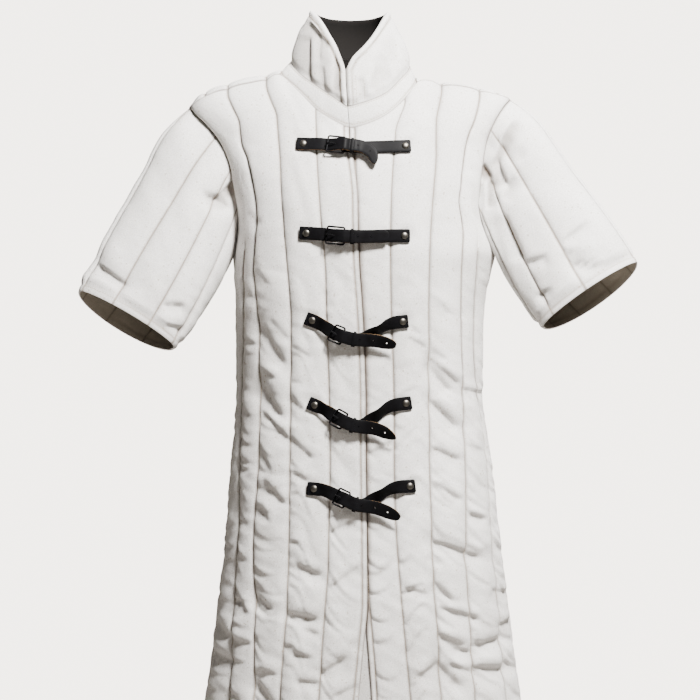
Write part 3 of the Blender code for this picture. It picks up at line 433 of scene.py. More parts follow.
def back_grid(right_front, left_front):
    """Skin points of the back, from the right side seam to the left one, with the fronts' shoulders."""
    shoulder = {}
    corners = (("right", right_front, RIGHT_NECK_CORNER), ("left", left_front, LEFT_NECK_CORNER))
    for side, grid, corner in corners:
        first = int(np.argmin(abs(grid[:, 0, 0] - corner)))
        shoulder[side] = [(grid[k, 0], k) for k in range(first, len(grid))]
    starts = [(point[0], point, None) for point, _ in reversed(shoulder["right"])]
    starts += [(x, None, behind) for x, behind in BACK_NECK]
    starts += [(point[0], point, None) for point, _ in shoulder["left"]]
    # Quilting lines: side, line 4, 3, 2, then 1, the middle and 1 again, and so on to the other side.
    count = len(starts)
    marks = [0, 3, 6, 9, 13, 15, 17, 22, 25, 28, count - 1]
    line_turns = [-1, -0.8, -0.6, -0.4, -0.2, 0, 0.2, 0.4, 0.6, 0.8, 1]
    grid = []
    for k, (start_x, seam_point, behind) in enumerate(starts):
        channel = min(np.searchsorted(marks, k, side="right") - 1, len(marks) - 2)
        share = (k - marks[channel]) / (marks[channel + 1] - marks[channel])
        turn = line_turns[channel] + (line_turns[channel + 1] - line_turns[channel]) * share
        ridge = ridge_height(start_x)
        start = -(ridge - seam_point[2]) if seam_point is not None else behind
        second = max(0.0, start + 6)
        points = []
        for row, share_down in enumerate(UPPER_SHARES + LOWER_DROPS):
            if row == 0:
                points.append(seam_point if seam_point is not None else skin(start_x, start, 1))
                continue
            if row < len(UPPER_SHARES):
                along = (share_down - UPPER_SHARES[1]) / (1 - UPPER_SHARES[1])
                below = second + (ARMPIT_DROP + ridge - second) * along
                drop = below - ridge
                settled = fade(along / 0.6)
            else:
                drop, settled = share_down, 1
            if abs(turn) == 1 and drop < ARMPIT_DROP:
                name = "back_right" if turn < 0 else "back_left"
                x = column(ARMHOLE, ARMHOLE_COLUMNS, name, drop)
            else:
                x = x_at(turn, drop)
                x = start_x + (x - start_x) * settled
                limit = [column(ARMHOLE, ARMHOLE_COLUMNS, n, drop) for n in ("back_right", "back_left")]
                if drop < ARMPIT_DROP:
                    inset = COLUMN_INSET * min(k, count - 1 - k)
                    x = min(max(x, limit[0] + inset), limit[1] - inset)
            local_ridge = ridge_height(x)
            points.append(skin(x, max(0.0, drop + local_ridge), 1))
        grid.append(points)
    grid = np.array(grid)
    grid[0, len(UPPER_SHARES) - 1 :] = right_front[-1, len(UPPER_SHARES) - 1 :]
    grid[-1, len(UPPER_SHARES) - 1 :] = left_front[-1, len(UPPER_SHARES) - 1 :]
    return grid


def sleeve_grid(side, armhole):
    """Skin points of a sleeve, [place round it][row], from the closed armhole ring down to the cuff."""
    outer_x, outer_z, inner_x, inner_z = SLEEVES[side]
    outer, inner = np.array((outer_x, 0, outer_z)), np.array((inner_x, 0, inner_z))
    middle, half = (outer + inner) / 2, np.linalg.norm(outer - inner) / 2
    across = (outer - inner) / (2 * half)
    axis = np.array((-across[2], 0, across[0])) * (1 if side == "left" else -1)
    axis = axis if axis[2] < 0 else -axis
    forward = np.array((0, -math.cos(SLEEVE_TILT), 0)) - axis * math.sin(SLEEVE_TILT)
    reach = np.linalg.norm(middle - armhole.mean(axis=0))
    middle = middle + np.array((0, -reach * math.sin(SLEEVE_TILT), 0))
    lines = SLEEVE_LINES[side]
    grid = []
    for k, start in enumerate(armhole):
        channel, part = divmod(k, 3)
        angle = math.radians(lines[channel] + (lines[channel + 1] - lines[channel]) * part / 3)
        depth = CUFF_FRONT if math.sin(angle) > 0 else CUFF_BACK
        end = middle + across * half * math.cos(angle) + forward * depth * math.sin(angle)
        points = []
        for share in SLEEVE_SHARES:
            centre = armhole.mean(axis=0) * (1 - share) + middle * share
            point = start * (1 - share) + end * share
            out = (point - centre) / np.linalg.norm(point - centre)
            top = max(0.0, math.cos(angle - math.radians(10)))
            swell = SLEEVE_SWELL * math.sin(math.pi * share)
            swell += SHOULDER_SWELL * top * math.sin(math.pi * min(1, share / 0.4))
            points.append(point + out * swell * (share > 0))
        grid.append(points)
    return np.array(grid)

# %% [markdown]
# ## Which way is out
# Padding rises along the cloth's own outward direction. Two pieces that meet at a seam share that direction
# there, so that their walls meet face to face. Blender's vertex normals would do it on one joined mesh, but
# these pieces are separate, so the directions are summed by place.

# %% Outward directions, shared at the seams
def outward(grids, closed, middles):
    """A direction for every skin point. Where two pieces meet they share it, so their walls meet too."""
    sums, keys, alone = {}, {}, {}
    for name, grid in grids.items():
        around = np.concatenate([grid, grid[:1]]) if closed[name] else grid
        across = around[1:, :-1] - around[:-1, :-1]
        down = around[:-1, 1:] - around[:-1, :-1]
        other_across = around[1:, 1:] - around[:-1, 1:]
        other_down = around[1:, 1:] - around[1:, :-1]
        facing = np.cross(across + other_across, down + other_down)
        away = (around[:-1, :-1] - middles[name](around[:-1, :-1])) * facing
        facing *= np.sign(away.sum())
        keys[name] = np.round(grid, 2)
        alone[name] = np.zeros(grid.shape)
        count = len(grid)
        for (i, j), _ in np.ndenumerate(facing[:, :, 0]):
            for a, b in ((i, j), (i + 1, j), (i, j + 1), (i + 1, j + 1)):
                alone[name][a % count, b] += facing[i, j]
    for name, grid in grids.items():
        alone[name] /= np.linalg.norm(alone[name], axis=2, keepdims=True)
        for place, direction in zip(keys[name].reshape(-1, 3), alone[name].reshape(-1, 3)):
            sums.setdefault(tuple(place), {})[name] = direction

    def shared_by(met):
        middle = sum(met.values())
        middle = middle / np.linalg.norm(middle)
        return middle if min(way.dot(middle) for way in met.values()) > SHARPEST_MITRE else None

    found = {}
    for name, grid in grids.items():
        found[name] = alone[name].copy()
        for (i, j), _ in np.ndenumerate(grid[:, :, 0]):
            met = sums[tuple(keys[name][i, j])]
            kinds = KIN[name.split("_")[0]]
            kin = {other: way for other, way in met.items() if other.split("_")[0] in kinds}
            for group in (met, kin):
                shared = shared_by(group)
                if shared is not None:
                    found[name][i, j] = shared
                    break
    return found


def parted(grid, closed, ends, gap=SEAM_GAP):
    """The grid with its sewn edges drawn in by half a gap. ends: top, bottom, first and last."""
    drawn = grid.copy()
    half = gap / 2

    def towards(edge, inner):
        step = inner - edge
        return half * step / np.linalg.norm(step, axis=-1, keepdims=True)

    if "top" in ends:
        drawn[:, 0] += towards(grid[:, 0], grid[:, 1])
    if "bottom" in ends:
        drawn[:, -1] += towards(grid[:, -1], grid[:, -2])
    if not closed:
        if "first" in ends:
            drawn[0] += towards(grid[0], grid[1])
        if "last" in ends:
            drawn[-1] += towards(grid[-1], grid[-2])
    return drawn

# %% [markdown]
# ## From a few points to fine cloth
# The tables give a skin point about every 18 mm across and 34 mm down. Wrinkles need a cell of about 3 mm,
# so each span is cut further along a smooth curve through its neighbours. A Subdivision Surface modifier
# would pull the cloth off the table's points, and this keeps them.

# %% Cutting a grid finer
CELLS_ACROSS = 6
CELLS_AROUND_SLEEVE = 5
CELL_DOWN = 2.7


def through(points, at):
    """Points on a smooth curve through rows of points, at fractional row numbers."""
    slopes = np.gradient(points, axis=0)
    i = np.clip(np.floor(at).astype(int), 0, len(points) - 2)
    t = (at - i).reshape((-1,) + (1,) * (points.ndim - 1))
    return eased(points[i], points[i + 1], slopes[i], slopes[i + 1], t)


def fine(grid, columns_at, rows_at, closed):
    """The grid at fractional columns and rows. A closed one runs on into its own start."""
    wide = np.concatenate([grid[-2:], grid, grid[:3]]) if closed else grid
    across = through(wide, columns_at + (2 if closed else 0))
    return through(across.swapaxes(0, 1), rows_at).swapaxes(0, 1)


def steps_of(lengths, cell):
    """Fractional positions that cut each span of these lengths into cells of about one size."""
    counts = [max(1, round(length / cell)) for length in lengths]
    cuts = [np.linspace(k, k + 1, count, endpoint=False) for k, count in enumerate(counts)]
    return np.concatenate(cuts + [[len(lengths)]])


# %% [markdown]
# ## The coarse skins
# Seven pieces are cut: two fronts, a back that wraps over the shoulders, two sleeves, the stand collar and
# the band at its foot. The sleeve starts on the armhole that the fronts and the back leave.

# %% The collar's own table
# Collar, from the right front edge round the neck to the left one: its foot on the band, and its rim.
# Columns: foot x, y, z and rim x, y, z.
COLLAR = (
    (-7.5, -77, -50, -10.5, -70, 8),
    (-14, -76, -46, -14, -66, 20),
    (-29, -72, -35, -20, -59, 36),
    (-42, -67, -26, -27, -51, 52),
    (-55, -61, -17, -35, -42, 66),
    (-78, -44, 0, -49, -22, 90),
    (-95, -16, 18, -61, -2, 105),
    (-96, 4, 28, -62, 12, 106),
    (-80, 28, 32, -55, 32, 102),
    (-52, 43, 32, -38, 46, 97),
    (-26, 51, 31, -19, 52, 95),
    (0, 54, 30, -2, 54, 94.5),
    (25, 52, 29, 16, 52, 95),
    (50, 43, 28, 34, 46, 97),
    (76, 28, 27, 49, 31, 101),
    (91, 6, 22, 55, 12, 103),
    (91, -14, 12, 54, -3, 102),
    (76, -38, -6, 44, -24, 84),
    (56, -56, -26, 31, -42, 63),
    (32, -69, -38, 17, -56, 46),
    (5, -77, -47, 0, -66, 28),
    (-6.4, -78, -50, -9.4, -70, 8),
)
COLLAR_SWELL = 5.0  # how far the collar bows out between its foot and its rim

# %% Laying out the seven skins
def ring_middles(points):
    """What a sleeve's cloth faces away from: the middle of each of its rings."""
    return points.mean(axis=0)[None] + 0 * points


def body_axis(points):
    """What the other pieces face away from: the coat's upright middle line."""
    return points * (0, 0, 1)


right_front, left_front = front_grid("right"), front_grid("left")
back = back_grid(right_front, left_front)
armpit_row = len(UPPER_SHARES) - 1
rings = {
    "right": np.concatenate([right_front[-1, : armpit_row + 1], back[0, armpit_row - 1 : 0 : -1]]),
    "left": np.concatenate([left_front[-1, : armpit_row + 1], back[-1, armpit_row - 1 : 0 : -1]]),
}
neck = [right_front[k, 0] for k in range(7)] + [back[k, 0] for k in range(11, 20)]
neck = np.array(neck + [left_front[k, 0] for k in range(5, -1, -1)])
collar_table = np.array(COLLAR, float)
foot, rim = collar_table[:, :3], collar_table[:, 3:]
bow = (foot + rim) / 2 * (1, 1, 0)
bow /= np.linalg.norm(bow, axis=1, keepdims=True)
collar_rows = [
    foot + (rim - foot) * rise + bow * COLLAR_SWELL * math.sin(math.pi * rise) for rise in (0, 0.3, 0.65, 1)
]
skins = {
    "front_right": right_front,
    "front_left": left_front,
    "back": back,
    "sleeve_right": sleeve_grid("right", rings["right"]),
    "sleeve_left": sleeve_grid("left", rings["left"]),
    "collar_band": np.stack([neck, (neck + foot) / 2, foot], axis=1),
    "collar": np.stack(collar_rows, axis=1),
}
closed = {name: name.startswith("sleeve") for name in skins}
middles = {name: ring_middles if closed[name] else body_axis for name in skins}
directions = outward(skins, closed, middles)
print({name: grid.shape[:2] for name, grid in skins.items()})

# %% [markdown]
# ## Wrinkles
# Stitching draws the cloth in, so it wrinkles: short drag lines run slantwise from the quilting rows, and
# longer soft creases cross a channel where the coat hangs heavily. Simulated cloth would wrinkle somewhere
# else each time, so the main creases are listed one by one, as soft troughs with a low ridge beside them.
# Small drag lines and the hidden sides' creases come from seeded chance, and the finest wrinkles from a
# slanting noise.

# %% Troughs and drag lines
NARROWEST_PUCKERED = 22.0  # narrower channels are too stiff to wrinkle
# Main creases in the front view.
# Columns: from x, from height, to x, to height, depth of the trough, half its width.
BODY_CREASES = (
    (-162, -221, -141, -238, 2.0, 6),
    (-149, -312, -131, -336, 2.0, 6),
    (-176, -328, -157, -357, 2.2, 6),
    (-144, -400, -107, -464, 3.6, 9),
    (-128, -392, -99, -424, 2.0, 6),
    (-94, -435, -66, -451, 2.0, 6),
    (-176, -422, -154, -430, 2.0, 5),
    (-142, -472, -123, -485, 2.0, 6),
    (-144, -496, -112, -547, 3.8, 9),
    (-144, -539, -99, -584, 3.6, 9),
    (-99, -512, -75, -536, 2.2, 7),
    (-98, -578, -62, -613, 2.4, 7),
    (-144, -603, -128, -632, 2.2, 7),
    (-139, -648, -107, -685, 2.8, 8),
    (-94, -634, -70, -648, 2.0, 6),
    (-144, -688, -131, -712, 2.2, 6),
    (-35, -731, 0, -710, 2.0, 7),
    (-88, -781, -54, -797, 3.4, 8),
    (-101, -795, -83, -808, 2.0, 6),
    (-35, -818, 13, -782, 2.0, 7),
    (-150, -832, -131, -851, 3.6, 8),
    (-179, -837, -166, -859, 2.4, 7),
    (-99, -858, -59, -867, 3.6, 8),
    (-74, -883, -56, -890, 2.0, 6),
    (-214, -875, -195, -896, 2.8, 8),
    (-186, -901, -163, -907, 2.6, 7),
    (-224, -923, -198, -933, 3.6, 9),
    (-91, -920, -67, -928, 2.4, 7),
    (-51, -955, -11, -928, 2.8, 9),
    (-11, -928, 11, -894, 2.2, 8),
    (-144, -949, -123, -955, 2.4, 7),
    (-83, -965, -51, -968, 2.6, 7),
    (-150, -968, -128, -1000, 3.8, 9),
    (-27, -989, 5, -973, 2.2, 8),
    (125, -354, 155, -384, 2.2, 7),
    (91, -400, 104, -413, 2.0, 6),
    (90, -421, 115, -435, 2.2, 6),
    (126, -440, 144, -453, 2.0, 6),
    (122, -453, 171, -496, 3.0, 7),
    (122, -464, 157, -506, 3.8, 8),
    (176, -502, 203, -509, 2.2, 6),
    (125, -520, 170, -565, 3.8, 8),
    (125, -595, 170, -616, 2.6, 7),
    (27, -606, 62, -586, 2.0, 7),
    (130, -651, 170, -680, 2.8, 7),
    (189, -702, 208, -709, 2.2, 6),
    (128, -744, 208, -773, 3.8, 9),
    (128, -765, 141, -776, 2.2, 6),
    (131, -808, 160, -843, 2.8, 7),
    (83, -818, 117, -827, 2.4, 7),
    (134, -848, 202, -869, 3.0, 7),
    (222, -824, 245, -829, 2.2, 7),
    (237, -880, 253, -872, 2.4, 7),
    (134, -891, 176, -909, 3.0, 7),
    (166, -915, 197, -923, 3.6, 8),
    (189, -912, 237, -901, 3.6, 8),
    (134, -936, 170, -973, 4.2, 11),
    (154, -939, 189, -952, 2.6, 7),
    (189, -944, 242, -949, 3.6, 8),
    (106, -957, 133, -941, 3.4, 9),
)
SLEEVE_CREASES = {
    "right": (
        (-238, -32, -224, -69, 1.8, 8),
        (-210, -53, -210, -96, 3.2, 8),
        (-186, -104, -193, -136, 2.2, 7),
        (-190, -173, -214, -195, 4.2, 10),
        (-214, -195, -231, -193, 3.2, 8),
        (-214, -197, -202, -208, 2.4, 7),
        (-406, -304, -360, -336, 2.6, 8),
        (-299, -368, -272, -368, 2.2, 6),
        (-296, -400, -275, -404, 2.2, 6),
    ),
    "left": (
        (258, -78, 245, -98, 3.0, 8),
        (245, -98, 230, -134, 3.4, 8),
        (231, -134, 248, -174, 4.2, 9),
        (258, -160, 242, -198, 2.6, 8),
        (210, -144, 221, -160, 3.0, 7),
        (219, -168, 219, -214, 3.0, 7),
        (245, -224, 277, -296, 2.6, 8),
        (274, -120, 275, -136, 2.0, 7),
        (341, -264, 373, -240, 2.2, 7),
        (341, -283, 373, -290, 2.0, 6),
        (352, -301, 394, -309, 3.4, 8),
        (394, -309, 429, -299, 3.2, 8),
        (285, -299, 309, -291, 2.4, 7),
        (298, -352, 314, -344, 2.2, 6),
    ),
}


def soft_band(away, width):
    """1 on a line, and soft down to nothing past a width on each side of it."""
    return np.exp(-((away / width) ** 2))


def valley(below, half_width):
    """A crease's section: steep above its line, a slow rise below it, and a low ridge on top."""
    width = np.where(below < 0, 0.38, 2.3) * half_width
    return soft_band(below, width) - 0.35 * soft_band(below / half_width + 1.5, 1.1)


def creased(points, creases):
    """How deep each point lies in the troughs, less the low ridge above each one."""
    depth = np.zeros(points.shape[:2])
    for from_x, from_z, to_x, to_z, deepest, half_width in creases:
        start, way = np.array((from_x, from_z)), np.array((to_x - from_x, to_z - from_z))
        length = np.linalg.norm(way)
        down = np.array((way[1], -way[0])) / length
        down = down if down[1] < 0 else -down
        offset = points[:, :, ::2] - start
        along = offset @ way / length**2
        past = np.clip(np.abs(along - 0.5) - 0.35, 0, None) * length / half_width
        depth += deepest * valley(offset @ down, half_width) * np.exp(-(past**2))
    return depth


def puckers(across, down, lines, seed, lean, spacing, deepest):
    """Small curved creases that start at a quilting row, steep at first, and flatten across the channel."""
    chance = np.random.default_rng(seed)
    depth = np.zeros(across.shape)
    for place, (first, last) in enumerate(zip(lines, lines[1:])):
        start_line, end_line = (first, last) if lean > 0 else (last, first)
        width = across[end_line] - across[start_line]
        if np.abs(width).max() < NARROWEST_PUCKERED:
            continue
        share = (across - across[start_line]) / width
        outer_share = (place + 1) / len(lines)
        start = chance.uniform(20, 60)
        while start < down.max():
            drop, reach = chance.uniform(10, 40), chance.uniform(0.35, 1.1)
            half_width = chance.uniform(3.2, 6)
            path = start + drop * (1 - (1 - np.clip(share / reach, 0, 1)) ** 2)
            along = np.clip(1 - share / reach, 0, 1) ** 0.6 * fade(share / 0.08) * (share <= 1)
            here = deepest * chance.uniform(0.35, 1) * (0.12 + 0.88 * fade((start - 220) / 560))
            depth += here * along * valley(down - path, half_width)
            start += chance.uniform(*spacing) * (1.7 - outer_share)
    return depth


def away_from(points, start, end):
    """How far each point lies from a straight line in the front view."""
    start, way = np.array(start), np.subtract(end, start)
    offset = points[:, :, ::2] - start
    along = np.clip((offset @ way) / way.dot(way), 0, 1)
    return np.linalg.norm(offset - along[:, :, None] * way, axis=2)


def fold_depth(points, folds):
    """How far the large folds press each point in."""
    depth = np.zeros(points.shape[:2])
    for *line, deepest in folds:
        away = away_from(points, line[:2], line[2:])
        depth = np.maximum(depth, deepest * soft_band(away, FOLD_WIDTH))
    return depth


def drag_lines(across, down, lines, seed, height):
    """Small slanting drag lines that start at each quilting row and fade away from it."""
    chance = np.random.default_rng(seed)
    found = np.zeros(across.shape)
    for line in lines:
        away = across - across[line]
        for side in (-1, 1):
            near = (away * side >= 0) * np.exp(-np.abs(away) / 13)
            slant = chance.uniform(0.35, 0.8) * side
            place = down + slant * away
            wave = np.zeros(across.shape)
            for length in chance.uniform(17, 46, 7):
                wave += np.sin(2 * math.pi * place / length + chance.uniform(0, 6.28))
            strength = 0.55 + 0.45 * np.sin(down / chance.uniform(60, 90) + chance.uniform(0, 6.28))
            found += height * near * wave / 3 * strength
    return found


def swells(across, down, seed, height):
    """Wide uneven places in the padding."""
    chance = np.random.default_rng(seed)
    found = np.zeros(across.shape)
    for length in (55, 75, 95, 130, 180):
        turn = chance.uniform(0, math.pi)
        place = across * math.cos(turn) + down * math.sin(turn)
        found += height * np.sin(2 * math.pi * place / length + chance.uniform(0, 6.28)) / 2
    return found


WRINKLE_SIZE = (46.0, 46.0, 13.0)  # fine wrinkles: along, through and across them
WRINKLE_SLANT = math.radians(30)
WRINKLE_DEPTH = 1.1


def wrinkles(points):
    """Fine slanting wrinkles all over the canvas, deeper where it hangs slack lower down."""
    c, s = math.cos(WRINKLE_SLANT), math.sin(WRINKLE_SLANT)
    turned = points @ np.array(((c, 0, s), (0, 1, 0), (-s, 0, c)))
    places = (turned / WRINKLE_SIZE).reshape(-1, 3)
    found = np.array([noise.noise(place) + 0.35 * noise.noise(place * 1.9) for place in map(Vector, places)])
    slack = 0.25 + 0.75 * np.clip((-150 - points[:, :, 2]) / 700, 0, 1)
    return WRINKLE_DEPTH * slack * found.reshape(points.shape[:2])


def chance_creases(across, down, count, seed):
    """Creases for the hidden sides: slanting troughs at random places, like the listed ones."""
    chance = np.random.default_rng(seed)
    flat = np.stack([across, 0 * across, -down], axis=2)
    found = []
    for _ in range(count):
        x = chance.uniform(across.min() + 15, across.max() - 15)
        z = -chance.uniform(0.3, 1) ** 0.8 * down.max()
        length, steep = chance.uniform(24, 62), chance.uniform(0.3, 1.0) * chance.choice((-1, 1))
        run = length / math.hypot(1, steep)
        found.append((x, z, x + run, z - abs(steep) * run, chance.uniform(1.6, 3.6), chance.uniform(6, 9)))
    return creased(flat, found)


print(f"{len(BODY_CREASES)} creases on the fronts")

# %% [markdown]
# ## Canvas, inside and out
# The shell is an undyed cotton canvas: plain-woven, off-white, matt, with tiny brown flecks of seed husk.
# Along the stitch rows, seams and creases its colour is darkened as painted shade, near black in the painted
# shadow beside the upper front's edge. The weave could be a picture, but two crossed waves on the cloth's own
# UV map repeat exactly at the thread spacing, and carry the same scale everywhere.

# %% Colours and nodes
THREAD = 1.1  # thread spacing in millimetres, drawn about twice as coarse as it is, so that it shows


def linear(code, alpha=1.0):
    """A linear colour from an sRGB hex code."""
    parts = [int(code[k : k + 2], 16) / 255 for k in (1, 3, 5)]
    return (*(p / 12.92 if p <= 0.04045 else ((p + 0.055) / 1.055) ** 2.4 for p in parts), alpha)


def new_material(name, code, roughness, metallic=0.0):
    material = bpy.data.materials.new(name)
    material.use_nodes = True
    shader = material.node_tree.nodes["Principled BSDF"]
    shader.inputs["Base Color"].default_value = linear(code)
    shader.inputs["Roughness"].default_value = roughness
    shader.inputs["Metallic"].default_value = metallic
    return material


def add_node(material, kind, settings=None, **links):
    """Adds a node. settings are its properties or socket values, links are what feeds its sockets."""
    tree = material.node_tree
    node = tree.nodes.new(kind)
    for key, value in (settings or {}).items():
        if key in node.inputs:
            node.inputs[key].default_value = value
        else:
            setattr(node, key, value)
    for socket, source in links.items():
        tree.links.new(source, node.inputs[socket])
    return node


def give(material, socket, value):
    """Sets a socket to a number or to a colour's hex code, or feeds it from another node's output."""
    if isinstance(value, str):
        socket.default_value = linear(value)
    elif isinstance(value, float):
        socket.default_value = value
    else:
        material.node_tree.links.new(value, socket)


def feed(material, socket, source):
    shader = material.node_tree.nodes["Principled BSDF"]
    material.node_tree.links.new(source, shader.inputs[socket])


def noise_at(material, place, scale, detail=2.0):
    settings = {"Scale": scale, "Detail": detail}
    return add_node(material, "ShaderNodeTexNoise", settings, Vector=place).outputs["Fac"]


def spread(material, value, from_min, from_max, to_min=0.0, to_max=1.0):
    """The value, with one range of it spread over another."""
    limits = {"From Min": from_min, "From Max": from_max, "To Min": to_min, "To Max": to_max}
    return add_node(material, "ShaderNodeMapRange", limits, Value=value).outputs["Result"]


def maths(material, operation, *values):
    """The result of one sum. Each value is a number or another node's output."""
    node = add_node(material, "ShaderNodeMath", {"operation": operation})
    for socket, value in zip(node.inputs, values):
        give(material, socket, value)
    return node.outputs[0]


def blended(material, share, first, second):
    """The colour at a share of the way from first to second. Each is a hex code or another node's output."""
    node = add_node(material, "ShaderNodeMix", {"data_type": "RGBA"})
    # This node's inputs share names, so they go by place.
    for place, value in ((0, share), (6, first), (7, second)):
        give(material, node.inputs[place], value)
    return node.outputs[2]


def bumped(material, height, strength, distance):
    """Raises the surface by a height, at most the distance in millimetres."""
    settings = {"Strength": strength, "Distance": distance * MM}
    bump = add_node(material, "ShaderNodeBump", settings, Height=height)
    feed(material, "Normal", bump.outputs["Normal"])


# %% Woven canvas
FLECK_COLOUR, PAINTED_SHADOW_COLOUR = "#8f7a5e", "#17110d"
WAVES_PER_SCALE = 20 / (2 * math.pi)  # bands of a wave texture in a metre, at scale 1


def canvas(name, light, shade, painted_shade_colour, weave_depth, flecks=True):
    """Plain-woven cotton: slightly uneven colour, painted shade at the stitch rows, seed flecks and a raised
    weave.
    """
    material = new_material(name, light, 0.92)
    shader = material.node_tree.nodes["Principled BSDF"]
    shader.inputs["Specular IOR Level"].default_value = 0.2
    place = add_node(material, "ShaderNodeTexCoord").outputs["Object"]
    threads = add_node(material, "ShaderNodeUVMap", {"uv_map": "cloth"}).outputs["UV"]
    patches, yarns = noise_at(material, place, 9.0, 4.0), noise_at(material, place, 620.0)
    uneven = maths(material, "ADD", patches, spread(material, yarns, 0.3, 0.7))
    colour = blended(material, maths(material, "MULTIPLY", uneven, 0.5), light, shade)
    if flecks:
        specks = add_node(material, "ShaderNodeTexVoronoi", {"Scale": 105.0}, Vector=place)
        few = maths(material, "MULTIPLY_ADD", noise_at(material, place, 60.0, 1.0), -0.3, 0.27)
        fleck = maths(material, "LESS_THAN", specks.outputs["Distance"], few)
        colour = blended(material, maths(material, "MULTIPLY", fleck, 0.45), colour, FLECK_COLOUR)
    # The row attribute carries painted shade: it darkens the colour towards the painted shade colour.
    rows = add_node(material, "ShaderNodeAttribute", {"attribute_name": "row"}).outputs["Fac"]
    colour = blended(material, rows, colour, painted_shade_colour)
    # Past 0.8 the colour turns near black: a painted shadow.
    colour = blended(material, spread(material, rows, 0.8, 1.0), colour, PAINTED_SHADOW_COLOUR)
    feed(material, "Base Color", colour)
    waves, thread_scale = [], 1 / (WAVES_PER_SCALE * THREAD * MM)
    for direction in ("X", "Y"):
        settings = {"bands_direction": direction, "Scale": thread_scale, "Distortion": 0.6}
        waves.append(add_node(material, "ShaderNodeTexWave", settings, Vector=threads).outputs["Fac"])
    slubs = noise_at(material, place, 240.0, 3.0)
    bumped(material, maths(material, "ADD", maths(material, "MULTIPLY", *waves), slubs), 0.6, weave_depth)
    return material


SHELL = canvas("undyed cotton canvas, plain woven", "#f8f6f4", "#b4b0ab", "#5c4d41", 0.8)
# The lining is the shell's canvas coloured darker all over: painted shade for the inside of the coat.
SHADED_LINING = canvas("cotton lining, darkened as painted shade", "#aaa193", "#8d8478", "#6b6053", 0.4, flecks=False)
# Inside the collar and its band the lining is painted near black: painted deep shade in the neck opening.
COLLAR_LINING_PAINTED_DARK = canvas(
    "lining inside the collar, painted deep shade", "#0f0c0a", "#090706", "#060504", 0.4, flecks=False
)
THREAD_COLOUR = new_material("waxed linen thread", "#a5957c", 0.8)
twist = noise_at(THREAD_COLOUR, add_node(THREAD_COLOUR, "ShaderNodeTexCoord").outputs["Object"], 900.0)
feed(THREAD_COLOUR, "Base Color", blended(THREAD_COLOUR, twist, "#b9a98f", "#857560"))
print([material.name for material in (SHELL, SHADED_LINING, THREAD_COLOUR)])

# %% [markdown]
# ## A wall of cloth
# The solids are walls, so the finer pieces are walls too: a grid is laid on the lining side, extruded once,
# and the new layer is moved to the padded outside. A Solidify modifier would give the same thickness
# everywhere, but here the wall is thick in a channel and thin at a row. The first layer keeps the lining's
# material.

# %% Making the wall
def finish_piece(name, data, solids):
    piece = bpy.data.objects.new(name, data)
    bpy.context.scene.collection.objects.link(piece)
    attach(piece, "root")
    if solids:
        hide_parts(*solids)
    return piece


def turn_outwards(mesh):
    """Turns every face outwards. It goes wrong on old normals, so they are worked out again first."""
    mesh.normal_update()
    bmesh.ops.recalc_face_normals(mesh, faces=mesh.faces[:])


def stored(mesh, name, materials=(), sharp_from=None):
    """The finished mesh. Where an angle in degrees is given, it is shaded smooth up to that angle."""
    data = bpy.data.meshes.new(name)
    mesh.to_mesh(data)
    mesh.free()
    for material in materials:
        data.materials.append(material)
    if sharp_from:
        data.shade_smooth()
        data.set_sharp_from_angle(angle=math.radians(sharp_from))
    return data


def cloth_wall(name, inner, outer, is_closed, flat, row_shade, materials):
    """A closed wall between two grids in millimetres.

    flat is each point's place on the flat cloth, across and down,
    and row_shade is how much painted shade darkens the canvas there."""
    columns, rows = inner.shape[:2]
    cells = columns if is_closed else columns - 1
    mesh = bmesh.new()
    bmesh.ops.create_grid(mesh, x_segments=cells, y_segments=rows - 1, size=1)
    place = mesh.verts.layers.int.new("place")
    inside, outside = inner.reshape(-1, 3) * MM, outer.reshape(-1, 3) * MM
    for vertex in mesh.verts:
        along = round((vertex.co.x + 1) / 2 * cells) % columns
        vertex[place] = along * rows + round((vertex.co.y + 1) / 2 * (rows - 1))
        vertex.co = inside[vertex[place]]
    if is_closed:
        bmesh.ops.remove_doubles(mesh, verts=mesh.verts, dist=1e-7)
    first_faces = mesh.faces[:]
    for face in first_faces:
        face.material_index = 1
    made = bmesh.ops.extrude_face_region(mesh, geom=first_faces)
    for element in made["geom"]:
        if isinstance(element, bmesh.types.BMVert):
            element.co = outside[element[place]]
        elif isinstance(element, bmesh.types.BMFace):
            element.material_index = 0
    for face in mesh.faces:
        if len({vertex[place] for vertex in face.verts}) < 4:
            face.material_index = 0
    turn_outwards(mesh)
    coordinates = mesh.loops.layers.uv.new("cloth")
    shade = mesh.verts.layers.float.new("row")
    threads, shades = np.stack(flat, axis=2).reshape(-1, 2) * MM, row_shade.ravel()
    for vertex in mesh.verts:
        vertex[shade] = shades[vertex[place]]
        for corner in vertex.link_loops:
            corner[coordinates].uv = threads[vertex[place]]
    return stored(mesh, name, materials, sharp_from=55)


def canvas_piece(name, inner, outer, is_closed, flat, shade, materials=(SHELL, SHADED_LINING)):
    data = cloth_wall(f"{name}_canvas", inner, outer, is_closed, flat, shade, materials)
    return finish_piece(f"{name}_canvas", data, (name,))


# %% [markdown]
# ## Rows of stitches
# A stitch is a short piece of thread that dips into the cloth at both ends. Each is a small flattened
# block, a few faces only, because there are thousands of them. One object holds all the stitches of a
# piece.

# %% Sewing along a line of points
BATCH = 40  # stitches that are made together, because Blender slows down as a mesh grows


def read_along(rows, marks, at):
    """A row of three values between the given rows, read at a length along them."""
    return np.array([np.interp(at, marks, rows[:, k]) for k in range(3)])


